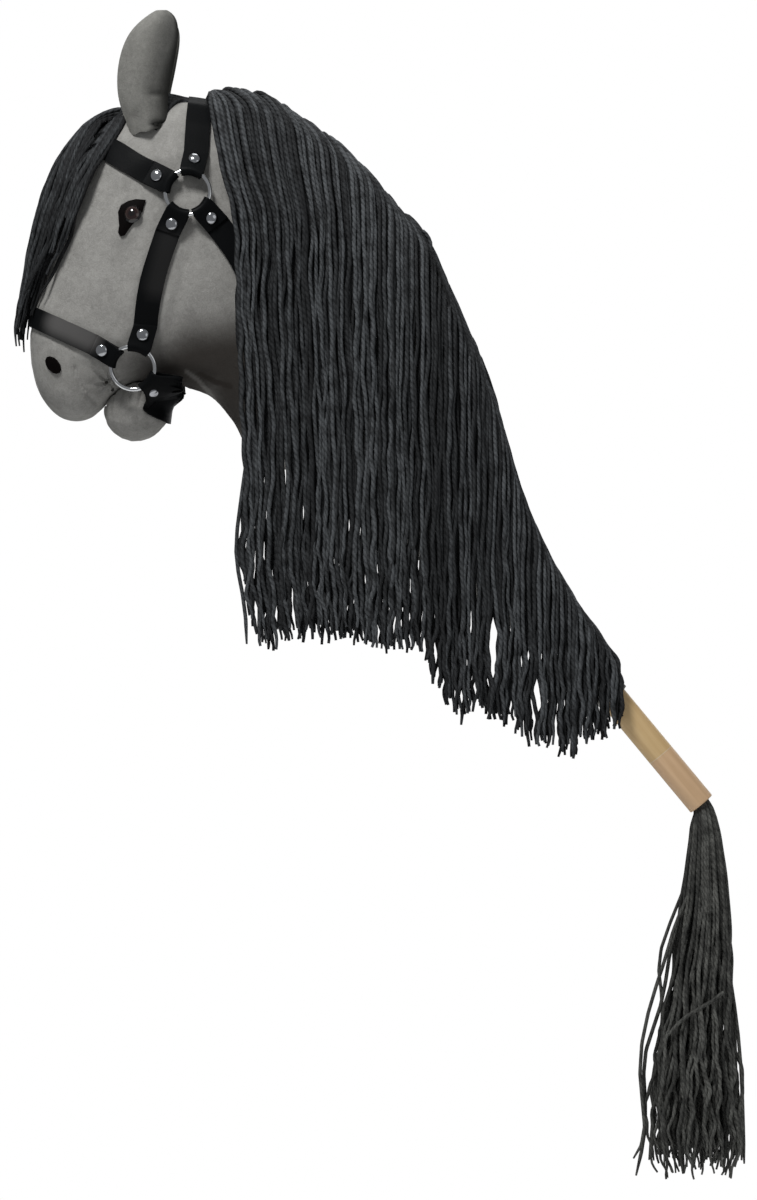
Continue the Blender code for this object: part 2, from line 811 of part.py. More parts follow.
def build_stick(parts, cutters, wood, yarn):
    top = -DOWN_STICK * STICK_ABOVE_JOINT
    butt = DOWN_STICK * STICK_BELOW_JOINT
    upper = cylinder("stick_upper", DOWN_STICK * -GAP / 2, top, STICK_RADIUS, parts, wood)
    lower = cylinder("stick_lower", DOWN_STICK * GAP / 2, butt, STICK_RADIUS, parts, wood)
    for thing in (upper, lower):
        edge = thing.modifiers.new("broken edge", "BEVEL")
        edge.width = STICK_EDGE
        edge.segments = 1
        edge.limit_method = "ANGLE"
        edge.angle_limit = math.radians(60)
    pin_reach = DOWN_STICK * (PIN_DEPTH - GAP)
    cylinder("stick_pin", -pin_reach, pin_reach, PIN_DIAMETER / 2, parts, wood, 16)
    pin_hole = cylinder("pin_hole", -DOWN_STICK * PIN_DEPTH, DOWN_STICK * PIN_DEPTH,
                        PIN_DIAMETER / 2 + PIN_CLEARANCE, cutters, segments=16)
    cutter(pin_hole, cutters)
    cut(upper, pin_hole)
    cut(lower, pin_hole)
    bore_end = DOWN_STICK * (STICK_BELOW_JOINT - TAIL_BORE_DEPTH)
    bore = cylinder("tail_bore", bore_end, butt + DOWN_STICK * 0.01, TAIL_BORE_DIAMETER / 2, cutters,
                    segments=16)
    cutter(bore, cutters)
    cut(lower, bore)
    cylinder("tail_root", bore_end + DOWN_STICK * GAP, butt - DOWN_STICK * GAP,
             TAIL_BORE_DIAMETER / 2 - GAP, parts, yarn, 16)
    return upper, lower


# Head and neck

def build_forms(parts, cutters, felt, stuffing, thread):
    head, neck = all_rows()
    rows = head + neck
    skin_panel("skin_panel_left", rows, False, parts, felt)
    skin_panel("skin_panel_right", rows, True, parts, felt)
    inset = SKIN + STUFFING_CLEARANCE
    stick_tool = cylinder("stick_space", DOWN_STICK * -0.02, -DOWN_STICK * (STICK_ABOVE_JOINT + 2 * MM),
                          STICK_RADIUS + STICK_CLEARANCE, cutters)
    cutter(stick_tool, cutters)
    head_fill = closed_form("head_stuffing", head[2:], inset, parts, stuffing, tip_point(2 * inset))
    cut(head_fill, stick_tool)
    first = head[-1]
    second = neck[0]
    reach = math.dist(first[:2], second[:2])
    share = BODY_SPLIT_GAP / reach
    start = [a + (b - a) * share for a, b in zip(first, second)]
    start[3] = first[3] - BODY_SPLIT_GAP
    start[2] = first[2] + BODY_SPLIT_GAP
    neck_fill = closed_form("neck_stuffing", [start] + neck[:-2], inset, parts, stuffing)
    cut(neck_fill, stick_tool)
    outside = closed_form("skin_outside", rows, 0.0, cutters, None, tip_point(0.0), SEAM_GAP)
    cutter(outside, cutters)
    space = closed_form("skin_space", rows, -JAW_CUT_GAP, cutters, None, tip_point(-JAW_CUT_GAP))
    cutter(space, cutters)
    tie_at = -DOWN_STICK * (NECK_END + TIE_SETBACK)
    major = (STICK_RADIUS + NECK_END_PAD + TIE_RADIUS + GAP) / math.cos(math.pi / FORM_POINTS)
    bpy.ops.mesh.primitive_torus_add(major_radius=major, minor_radius=TIE_RADIUS,
                                     major_segments=FORM_POINTS, minor_segments=6)
    tie = bpy.context.active_object
    tie.name = "neck_tie"
    tie.matrix_world = axis_frame(tie_at, DOWN_STICK, Vector((0, 1, 0)))
    place(tie, parts, thread)
    return outside, space


def jaw_centre():
    return Vector((JAW_CENTRE[0], 0.0, JAW_CENTRE[1]))


def build_jaw(parts, space, felt):
    work = bmesh.new()
    bmesh.ops.create_uvsphere(work, u_segments=16, v_segments=10, radius=0.5)
    size = Matrix.Diagonal((JAW_WIDTH, JAW_DEPTH, JAW_LENGTH, 1.0))
    bmesh.ops.transform(work, matrix=size, verts=work.verts)
    mesh = bpy.data.meshes.new("lower_jaw")
    work.to_mesh(mesh)
    work.free()
    mesh.shade_smooth()
    jaw = bpy.data.objects.new("lower_jaw", mesh)
    place(jaw, parts, felt)
    long_way = Vector((math.cos(JAW_TILT), 0.0, math.sin(JAW_TILT)))
    centre = jaw_centre()
    jaw.matrix_world = axis_frame(centre, long_way, Vector((0, 1, 0)))
    cut(jaw, space)
    return jaw


def build_ear(name, mirror, parts, space, felt):
    """A cupped leaf of felt, open to the front, cut off where it meets the head."""
    columns = 6
    rows = [[v * MM for v in row] for row in EAR_ROWS]
    points = []
    root_z = rows[0][1]
    for x0, z0, x1, z1 in rows:
        half = (x1 - x0) / 2
        for k in range(columns + 1):
            u = -1 + 2 * k / columns
            x = (x0 + x1) / 2 + half * u
            z = (z0 + z1) / 2 + (z1 - z0) / 2 * u
            bulge = EAR_CUP * 2 * half * (1 - u * u)
            lean = (z - root_z) * math.tan(EAR_LEAN)
            curl = EAR_CUP * half * 0.5 * u
            points.append(Vector((x, -(EAR_SPREAD + lean + bulge - curl - half * 0.35), z)))
    if mirror:
        points = [mirror_y(p) for p in points]
    n = columns + 1
    faces = []
    for r in range(len(rows) - 1):
        for k in range(columns):
            a = r * n + k
            quad = (a, a + 1, a + 1 + n, a + n)
            faces.append(quad if not mirror else quad[::-1])
    mesh = bpy.data.meshes.new(name)
    mesh.from_pydata([tuple(p) for p in points], [], faces)
    mesh.shade_smooth()
    ear = bpy.data.objects.new(name, mesh)
    place(ear, parts, felt)
    wall = ear.modifiers.new("felt", "SOLIDIFY")
    wall.thickness = EAR_FELT
    wall.offset = 0.0
    cut(ear, space)
    return ear


def oval(place_xz, length, width, tilt, points):
    spots = []
    for k in range(points):
        turn = 2 * math.pi * k / points
        u = math.cos(turn) * length / 2
        v = math.sin(turn) * width / 2
        spots.append((place_xz[0] + u * math.cos(tilt) - v * math.sin(tilt),
                      place_xz[1] + u * math.sin(tilt) + v * math.cos(tilt)))
    return spots


def eye_dome(name, surface, mirror, group, finish):
    spot, normal = surface.nearest(Vector((EYE_PLACE[0], -0.09, EYE_PLACE[1])))
    seat = spot + normal * (PATCH_CLEARANCE + PATCH_THICKNESS + 2 * GAP)
    outline = []
    arcs = 5
    for k in range(arcs + 1):
        turn = math.pi / 2 * k / arcs
        outline.append((EYE_DIAMETER / 2 * math.sin(turn), 0.0, EYE_HEIGHT * math.cos(turn)))
    outline.append((0.0, 0.0, 0.0))
    mesh = bpy.data.meshes.new(name)
    mesh.from_pydata(outline, [(k, k + 1) for k in range(len(outline) - 1)], [])
    eye = bpy.data.objects.new(name, mesh)
    place(eye, group, finish)
    if mirror:
        seat = mirror_y(seat)
        normal = mirror_y(normal)
    eye.matrix_world = axis_frame(seat, normal, Vector((1, 0, 0)))
    add_screw(eye, 16)


def build_face(parts, surface, leather, glass):
    eye = [(EYE_PLACE[0] + x * MM, EYE_PLACE[1] + z * MM) for x, z in EYE_PATCH]
    nostril = oval(NOSTRIL_PLACE, NOSTRIL_LENGTH, NOSTRIL_WIDTH, NOSTRIL_TILT, 12)
    for side, mirror in (("left", False), ("right", True)):
        patch("eye_patch_" + side, eye, surface, mirror, PATCH_CLEARANCE, parts, leather)
        patch("nostril_" + side, nostril, surface, mirror, PATCH_CLEARANCE, parts, leather)
        eye_dome("eye_" + side, surface, mirror, parts, glass)


# Halter

def build_ring(name, frame, mirror, parts, finish):
    bpy.ops.mesh.primitive_torus_add(major_radius=RING_RADIUS, minor_radius=WIRE_RADIUS,
                                     major_segments=RING_SEGMENTS, minor_segments=WIRE_SEGMENTS)
    ring = bpy.context.active_object
    ring.name = name
    centre = mirror_y(frame.centre) if mirror else frame.centre
    normal = mirror_y(frame.normal) if mirror else frame.normal
    ring.matrix_world = axis_frame(centre, normal, Vector((1, 0, 0)))
    ring.data.shade_smooth()
    return place(ring, parts, finish)


def build_halter(parts, cutters, surface, leather, chrome):
    upper = RingFrame(UPPER_RING, Vector(UPPER_RING_NORMAL),
                      (CROWN_ANGLE, BROW_ANGLE, CHEEK_TOP_ANGLE, THROAT_ANGLE), surface)
    lower = RingFrame(LOWER_RING, Vector(LOWER_RING_NORMAL),
                      (CHEEK_FOOT_ANGLE, NOSE_ANGLE, CHIN_ANGLE), surface)
    crown = rounded_path(tongue_end(upper, CROWN_ANGLE), CROWN_TOP)
    brow = rounded_path(tongue_end(upper, BROW_ANGLE), BROW_FRONT)
    nose = rounded_path(tongue_end(lower, NOSE_ANGLE), NOSE_FRONT)
    chin = rounded_path(tongue_end(lower, CHIN_ANGLE), CHIN_FOOT)
    throat = [tongue_end(upper, THROAT_ANGLE)] + [Vector(p) for p in THROAT_ROUTE]
    throat = smooth_path(throat[:-1] + [mirror_y(p) for p in throat[::-1]], THROAT_STATIONS)
    cheek = smooth_path([tongue_end(upper, CHEEK_TOP_ANGLE)] + [Vector(p) for p in CHEEK_ROUTE]
                        + [tongue_end(lower, CHEEK_FOOT_ANGLE)], CHEEK_STATIONS)
    rivets = rivet_mesh()
    straps = [
        ("crown_strap", upper, CROWN_ANGLE, crown, STRAP_WIDTH, lie_on),
        ("browband", upper, BROW_ANGLE, brow, STRAP_WIDTH, lie_on),
        ("noseband", lower, NOSE_ANGLE, nose, NOSEBAND_WIDTH, lie_on),
        ("chin_strap", lower, CHIN_ANGLE, chin, NOSEBAND_WIDTH, bridge_round(jaw_centre())),
        ("throat_latch", upper, THROAT_ANGLE, throat, STRAP_WIDTH, lie_on),
    ]
    for name, frame, angle, path, width, lay in straps:
        strap = wrap_strap(name, frame, angle, path, width, surface, parts, leather, lay)
        for side, mirror in (("left", False), ("right", True)):
            label = "rivet_" + name.split("_")[0] + "_" + side
            rivet(label, rivets, strap, strap, frame, angle, surface, mirror, parts, cutters, chrome)
    near = None
    for side, mirror in (("left", False), ("right", True)):
        strap = side_strap("cheek_strap_" + side, upper, CHEEK_TOP_ANGLE, lower, CHEEK_FOOT_ANGLE,
                           cheek, surface, mirror, parts, leather)
        near = near or strap
        ends = (("top", upper, CHEEK_TOP_ANGLE), ("foot", lower, CHEEK_FOOT_ANGLE))
        for end, frame, angle in ends:
            label = "rivet_cheek_" + end + "_" + side
            rivet(label, rivets, strap, near, frame, angle, surface, mirror, parts, cutters, chrome)
        build_ring("upper_ring_" + side, upper, mirror, parts, chrome)
        build_ring("lower_ring_" + side, lower, mirror, parts, chrome)
    for label, frame in (("upper", upper), ("lower", lower)):
        print(label, "ring centre", [round(v, 5) for v in frame.centre], "normal",
              [round(v, 4) for v in frame.normal])


# Mane, forelock and tail

def crest_points():
    """The top of the neck in the middle plane, from the poll to the neck's end."""
    rows = form_rows(head_rows()[-2:] + neck_rows(), 1)[1:]
    return [(row[0], row[1]) for row in rows]


def build_tape(parts, surface, cloth):
    crest = [Vector((x, 0.0, z)) for x, z in crest_points()[:-2]]
    strap = Strap(TAPE_ACROSS)
    made = []
    for k, point in enumerate(crest):
        tangent = path_tangent(crest, k)
        above = point + SIDE.cross(tangent) * TAPE_WIDTH / 2
        rows = lie_on(surface, above, tangent, TAPE_WIDTH, TAPE_THICKNESS, TAPE_CLEARANCE, TAPE_ACROSS)
        made.append(strap.station(*rows))
    for one, two in zip(made, made[1:]):
        strap.join(one, two)
    strap.cap(made[0])
    strap.cap(made[-1])
    mesh_object("mane_tape", strap.points, strap.faces, parts, cloth)


def crest_slope(x):
    """The crest's length over its run at x, by which a height above it grows on the slope."""
    reach = 5 * MM
    crest = crest_points()
    rise = along(crest, x + reach) - along(crest, x - reach)
    return math.hypot(rise, 2 * reach) / (2 * reach)


def mane_column(surface, x_at, hem_z):
    """Points down the inside of the mane at one place along it: over the crest, then hanging.

    x_at gives the column's x at a height, because the mane's front edge isn't plumb.
    """
    crest = crest_points()
    top_x = x_at(crest[0][1])
    high, _ = surface.cast(Vector((top_x, -MM, 1.0)), Vector((0, 0, -1)))
    low, _ = surface.cast(Vector((top_x, -MM, -1.0)), Vector((0, 0, 1)))
    top = max(high.z, along(crest, top_x))
    steep = crest_slope(top_x)
    skin = [Vector((top_x, 0.0, top))]
    for level in MANE_LEVELS:
        z = top - (top - low.z) / 2 * level
        x = x_at(z)
        outs = [surface.half_width(x, z), -skin[-1].y]
        if level == MANE_LEVELS[-1]:
            outs += [surface.half_width(x, z - (z - low.z) * k / 10) for k in range(1, 10)]
        skin.append(Vector((x, -max(out for out in outs if out is not None), z)))
    column = []
    for k, point in enumerate(skin):
        run = skin[min(k + 1, len(skin) - 1)] - skin[max(k - 1, 0)]
        away = Vector((0.0, run.z, -run.y)).normalized() if k else Vector((0.0, 0.0, 1.0))
        away.z *= steep
        column.append(point + away * MANE_LIFT)
    last = column[-1]
    foot = min(hem_z, last.z - MANE_SHORTEST)
    for k in range(1, MANE_HANGS + 1):
        z = last.z + (foot - last.z) * k / MANE_HANGS
        column.append(Vector((x_at(z), last.y, z)))
    return column


def column_outside(column):
    """The outside of the mane over one column, thicker in the middle than at the root and tips."""
    outside = []
    root = along([(x * MM, thickness * MM) for x, thickness in MANE_ROLL], column[0].x)
    steep = crest_slope(column[0].x)
    count = len(column) - 1
    for k, point in enumerate(column):
        run = column[min(k + 1, count)] - column[max(k - 1, 0)]
        out = Vector((0.0, run.z, -run.y)).normalized()
        if k == 0:
            out = Vector((0.0, 0.0, 1.0))
        out.z *= steep
        share = k / count
        if share < 0.5:
            thick = root + (MANE_THICKNESS - root) * share * 2
        else:
            thick = MANE_THICKNESS + (MANE_TIP - MANE_THICKNESS) * (share * 2 - 1)
        outside.append(point + out * thick)
    return outside


def build_mane(parts, surface, yarn):
    hem = [(x * MM, z * MM) for x, z in MANE_HEM]
    front = [(z * MM, x * MM) for z, x in MANE_FRONT]
    edges = [x * MM for x in MANE_CREST]
    for number, (x0, x1) in enumerate(zip(edges, edges[1:]), 1):
        name = "mane_lock_%d" % number
        inner = []
        outer = []
        for k in range(MANE_COLUMNS + 1):
            share = k / MANE_COLUMNS

            def x_at(z):
                first = along(front, z) if number == 1 else x0
                return first + (x1 - first) * share

            inside = mane_column(surface, x_at, along(hem, x0 + (x1 - x0) * share))
            outside = column_outside(inside)
            top = inside[0].z
            for p in inside + outside:
                depth = min(max(top - p.z, 0.0) / MANE_PARTING_DEPTH, 1.0)
                p.x += (1 - 2 * share) * (MANE_LOCK_GAP + MANE_LOCK_PARTING * depth)
            inner.append(inside)
            outer.append(outside)
        grid_solid(name, inner, outer, parts, yarn)
        a = inner[0][0]
        b = inner[-1][0]
        print(name, "hinge at", [round(v, 4) for v in (a + b) / 2], "axis",
              [round(v, 4) for v in (a - b).normalized()])


def grid_solid(name, inner, outer, parts, finish):
    """A solid between two equal grids of points."""
    rows = len(inner)
    n = len(inner[0])
    points = [p for row in inner for p in row] + [p for row in outer for p in row]
    shift = rows * n
    faces = []
    for r in range(rows - 1):
        for k in range(n - 1):
            a = r * n + k
            faces.append((a, a + 1, a + 1 + n, a + n))
            faces.append((a + shift, a + n + shift, a + 1 + n + shift, a + 1 + shift))
        for k in (0, n - 1):
            a = r * n + k
            faces.append((a, a + n, a + n + shift, a + shift))
    for r in (0, rows - 1):
        for k in range(n - 1):
            a = r * n + k
            faces.append((a, a + 1, a + 1 + shift, a + shift))
    return mesh_object(name, points, faces, parts, finish)


def build_forelock(parts, surface, yarn):
    """A lock that lies over the front of the face, from the poll to below the noseband."""
    spread = 6
    inner = []
    outer = []
    count = len(FORELOCK_ROWS)
    for r, (z, half) in enumerate(FORELOCK_ROWS):
        inside = []
        outside = []
        for k in range(spread + 1):
            u = -1 + 2 * k / spread
            hit, _ = surface.cast(Vector((-0.9, u * half * MM, z * MM)), Vector((1, 0, 0)))
            spot, normal = surface.nearest(hit + Vector((-0.02, u * 0.02, 0.0)))
            thick = FORELOCK_THICKNESS * (1 - 0.45 * abs(u) ** 3)
            if r == count - 1:
                thick *= 0.6
            inside.append(spot + normal * FORELOCK_LIFT)
            outside.append(spot + normal * (FORELOCK_LIFT + thick))
        inner.append(inside)
        outer.append(outside)
    grid_solid("forelock", inner, outer, parts, yarn)


def build_tail(parts, yarn):
    butt = DOWN_STICK * STICK_BELOW_JOINT
    pivot = Vector((butt.x, 0.0, butt.z - TAIL_PIVOT_DROP))
    radius = (pivot - butt).dot(DOWN_STICK) - TAIL_CAP_CLEARANCE
    print("tail pivot", [round(v, 5) for v in pivot], "cap radius", round(radius, 5))
    points = 16
    rings = []
    for k in range(1, 4):
        turn = math.pi / 2 * k / 3
        rings.append((pivot + Vector((0, 0, radius * math.cos(turn))), radius * math.sin(turn),
                      radius * math.sin(turn), Vector((1, 0, 0))))
    for x0, z0, x1, z1, w in TAIL_ROWS:
        a = Vector((x0 * MM, 0.0, z0 * MM))
        b = Vector((x1 * MM, 0.0, z1 * MM))
        rings.append(((a + b) / 2, (b - a).length / 2, w * MM, (b - a).normalized()))
    verts = [pivot + Vector((0, 0, radius))]
    for centre, reach, width, arm in rings:
        for i in range(points):
            turn = 2 * math.pi * i / points
            verts.append(centre + arm * reach * math.cos(turn) + SIDE * width * math.sin(turn))
    faces = [(0, 1 + i, 1 + (i + 1) % points) for i in range(points)]
    for k in range(len(rings) - 1):
        for i in range(points):
            j = (i + 1) % points
            a = 1 + k * points
            faces.append((a + i, a + points + i, a + points + j, a + j))
    last = 1 + (len(rings) - 1) * points
    faces.append(tuple(range(last, last + points)))
    mesh_object("tail", verts, faces, parts, yarn)


def main():
    remove_scene_objects()
    parts = collection("hobby_horse")
    cutters = collection("cutters")
    felt = material("felt", (0.30, 0.295, 0.275), 0.95)
    stuffing = material("stuffing", (0.80, 0.80, 0.78), 0.95)
    thread = material("thread", (0.03, 0.03, 0.03), 0.8)
    leather = material("leather", (0.010, 0.011, 0.012), 0.35)
    chrome = material("chrome", (0.75, 0.76, 0.78), 0.12, 1.0)
    glass = material("eye", (0.012, 0.008, 0.006), 0.06)
    yarn = material("yarn", (0.012, 0.014, 0.018), 0.85)
    wood = material("wood", (0.52, 0.34, 0.17), 0.55)
    tape = material("tape", (0.02, 0.02, 0.022), 0.9)

    upper, lower = build_stick(parts, cutters, wood, yarn)
    outside, space = build_forms(parts, cutters, felt, stuffing, thread)
    jaw = build_jaw(parts, space, felt)
    build_ear("ear_left", False, parts, space, felt)
    build_ear("ear_right", True, parts, space, felt)
    bpy.context.view_layer.update()
    head_surface = Surface([outside, jaw])
    build_face(parts, head_surface, leather, glass)
    build_halter(parts, cutters, head_surface, leather, chrome)
    neck_surface = Surface([outside, bpy.data.objects["neck_tie"], upper, lower])
    build_tape(parts, neck_surface, tape)
    build_mane(parts, neck_surface, yarn)
    build_forelock(parts, head_surface, yarn)
    build_tail(parts, yarn)
    bpy.context.view_layer.update()


main()
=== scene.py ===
# %% [markdown]
# ## Hobby horse: the frame
# The toy is a stuffed felt horse's head on a wooden stick, with a leather halter, a yarn mane, a forelock
# and a tail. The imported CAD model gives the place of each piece, so it is loaded first and everything
# that follows is laid on it. Millimetres are easier to read than metres, hence MM.

import json
import math
import bmesh
import bpy
import numpy as np
from mathutils import Matrix, Vector, noise
from mathutils.bvhtree import BVHTree


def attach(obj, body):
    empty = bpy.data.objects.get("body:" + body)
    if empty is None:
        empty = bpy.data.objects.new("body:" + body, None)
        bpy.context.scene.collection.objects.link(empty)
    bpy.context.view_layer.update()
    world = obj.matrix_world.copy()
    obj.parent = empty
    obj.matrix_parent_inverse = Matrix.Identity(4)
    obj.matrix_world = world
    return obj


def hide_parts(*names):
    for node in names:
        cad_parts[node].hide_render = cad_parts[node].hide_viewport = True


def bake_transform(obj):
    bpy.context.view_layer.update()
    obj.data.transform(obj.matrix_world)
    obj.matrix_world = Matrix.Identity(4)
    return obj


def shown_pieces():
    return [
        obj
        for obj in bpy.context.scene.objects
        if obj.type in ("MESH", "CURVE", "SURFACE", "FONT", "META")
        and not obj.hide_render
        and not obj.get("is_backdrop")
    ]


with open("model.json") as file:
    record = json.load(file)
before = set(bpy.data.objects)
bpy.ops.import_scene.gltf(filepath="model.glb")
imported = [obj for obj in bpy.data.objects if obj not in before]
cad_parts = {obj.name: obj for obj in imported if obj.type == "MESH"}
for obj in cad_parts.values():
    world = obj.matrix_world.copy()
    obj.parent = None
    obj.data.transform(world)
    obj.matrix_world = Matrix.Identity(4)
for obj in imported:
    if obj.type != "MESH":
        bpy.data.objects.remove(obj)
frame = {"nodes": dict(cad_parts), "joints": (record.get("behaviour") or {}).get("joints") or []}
nodes = frame["nodes"]
joints = {joint["name"]: joint for joint in frame["joints"]}
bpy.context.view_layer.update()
scene = bpy.context.scene
MM = 0.001
SIDES = ("left", "right")

# %% [markdown]
# ## The camera
# The photograph looks straight at the horse's left side from far away. A long lens at six metres gives
# the same flat view. One pixel of the photograph is one millimetre in the middle of the object.

# %% Camera
FRAME_HEIGHT = 1.2                  # metres of the object's plane that the picture's height shows
AWAY = 6.0
NEAR_PLANE = -0.05                  # Y of that plane
PICTURE_MIDDLE = (-0.2845, 0.156)   # X and Z
SENSOR = 24.0


def make_camera():
    data = bpy.data.cameras.new("camera")
    data.sensor_fit = "VERTICAL"
    data.sensor_height = data.sensor_width = SENSOR
    data.lens = SENSOR * AWAY / FRAME_HEIGHT
    data.clip_end = 10 * AWAY
    camera = bpy.data.objects.new("camera", data)
    camera.location = (PICTURE_MIDDLE[0], NEAR_PLANE - AWAY, PICTURE_MIDDLE[1])
    camera.rotation_euler = (math.pi / 2, 0.0, 0.0)
    scene.collection.objects.link(camera)
    scene.camera = camera
    return camera


print("lens", make_camera().data.lens)

# %% [markdown]
# ## Building node trees
# Every finish and every repeated piece below is a node tree. A few helpers keep them readable: they add a
# node with its settings and inputs, do a sum, and mix two colours.

# %% Node helpers
COLOUR = "NodeSocketColor"
VALUE = "NodeSocketFloat"


def plug(tree, socket, value):
    if isinstance(value, bpy.types.NodeSocket):
        tree.links.new(value, socket)
    else:
        socket.default_value = value


def add(tree, kind, inputs=None, **settings):
    made = tree.nodes.new(kind)
    for name, value in settings.items():
        setattr(made, name, value)
    for key, value in (inputs or {}).items():
        plug(tree, made.inputs[key], value)
    return made


def calc(tree, operation, a, b=0.0, c=0.0, clamp=False):
    return add(tree, "ShaderNodeMath", {0: a, 1: b, 2: c}, operation=operation, use_clamp=clamp).outputs[0]


def times(tree, a, b):
    return calc(tree, "MULTIPLY", a, b)


def scaled(tree, value, factor, offset, clamp=False):
    return calc(tree, "MULTIPLY_ADD", value, factor, offset, clamp)


def centred(tree, value, factor, offset, clamp=False):
    """Spreads a noise round its middle, 0.5, by the factor, and sets it on the offset."""
    return scaled(tree, calc(tree, "SUBTRACT", value, 0.5), factor, offset, clamp)


def shifted(tree, operation, a, b):
    key = "Scale" if operation == "SCALE" else 1
    return add(tree, "ShaderNodeVectorMath", {0: a, key: b}, operation=operation).outputs[0]


def mixed(tree, share, first, second):
    return add(tree, "ShaderNodeMix", {0: share, 6: first, 7: second}, data_type="RGBA").outputs[2]


print("node helpers ready")

# %% [markdown]
# ## Reading the surface
# A finish reads three things: the place on the piece, a number that the mesh carries at each point, and
# a noise laid over the place. Patterns that are used more than once go into groups. A group starts
# empty, with named inputs and outputs, and is filled below.

# %% Surface helpers
def place_of(tree):
    return add(tree, "ShaderNodeTexCoord").outputs["Object"]


def value_of(tree, attribute):
    return add(tree, "ShaderNodeAttribute", attribute_name=attribute).outputs["Fac"]


def noise_at(tree, where, scale, detail, output="Fac", **more):
    inputs = {"Vector": where, "Scale": scale, "Detail": detail, **more}
    return add(tree, "ShaderNodeTexNoise", inputs).outputs[output]


def shader_group(name, inputs, outputs):
    """An empty shader group with named sockets: inputs are (name, type, value), outputs (name, type)."""
    tree = bpy.data.node_groups.new(name, "ShaderNodeTree")
    for label, kind, value in inputs:
        tree.interface.new_socket(label, in_out="INPUT", socket_type=kind).default_value = value
    for label, kind in outputs:
        tree.interface.new_socket(label, in_out="OUTPUT", socket_type=kind)
    return tree, tree.nodes.new("NodeGroupInput").outputs, tree.nodes.new("NodeGroupOutput").inputs


print("surface helpers ready")

# %% [markdown]
# ## Felt
# Wool felt has no weave. Short fibres lie in every direction, so the surface is softly mottled and dull.
# Three sizes of noise do this: a fine one, bent by a coarse one so that it looks tangled, tufts a few
# millimetres wide, and broad clouds where the felt has been handled. The group gives a colour and a height.

# %% Felt group
def felt_nap_group():
    tree, given, out = shader_group(
        "Felt nap",
        [("Colour", COLOUR, (0.3, 0.3, 0.3, 1)), ("Shade", COLOUR, (0.2, 0.2, 0.2, 1)),
         ("Fibres per metre", VALUE, 620.0), ("Clouds", VALUE, 0.35)],
        [("Colour", COLOUR), ("Height", VALUE)],
    )
    where = place_of(tree)
    swirl = shifted(tree, "SUBTRACT", noise_at(tree, where, 170.0, 3.0, "Color"), (0.5, 0.5, 0.5))
    tangled = shifted(tree, "ADD", where, shifted(tree, "SCALE", swirl, 0.012))
    fibres = noise_at(tree, tangled, given["Fibres per metre"], 5.0, Roughness=0.68)
    broad = calc(tree, "ADD", noise_at(tree, where, 26.0, 4.0), noise_at(tree, tangled, 165.0, 3.0))
    clouds = times(tree, calc(tree, "SUBTRACT", broad, 1.0), given["Clouds"])
    share = calc(tree, "ADD", centred(tree, fibres, 1.7, 0.62), clouds, clamp=True)
    tree.links.new(mixed(tree, share, given["Shade"], given["Colour"]), out["Colour"])
    tree.links.new(fibres, out["Height"])
    return tree


felt_nap = felt_nap_group()
print("group", felt_nap.name)

# %% [markdown]
# ## Leather
# The halter is thin black leather with a fine pebbled grain, more polished on top of each pebble.
# Voronoi cells give the pebbles and a noise breaks them up. Roughness follows the same height.

# %% Leather group
def leather_grain_group():
    tree, given, out = shader_group(
        "Leather grain",
        [("Pebbles per metre", VALUE, 900.0), ("Polish", VALUE, 0.42), ("Rubbed", VALUE, 0.2)],
        [("Height", VALUE), ("Roughness", VALUE)],
    )
    where = place_of(tree)
    pebbles = add(tree, "ShaderNodeTexVoronoi", {"Vector": where, "Scale": given["Pebbles per metre"]})
    dips = times(tree, pebbles.outputs["Distance"], -0.7)
    height = scaled(tree, noise_at(tree, where, 320.0, 4.0), 0.8, dips)
    worn = centred(tree, noise_at(tree, where, 38.0, 3.0), given["Rubbed"], given["Polish"])
    tree.links.new(height, out["Height"])
    tree.links.new(scaled(tree, height, -0.08, worn), out["Roughness"])
    return tree


leather_grain = leather_grain_group()
print("group", leather_grain.name)
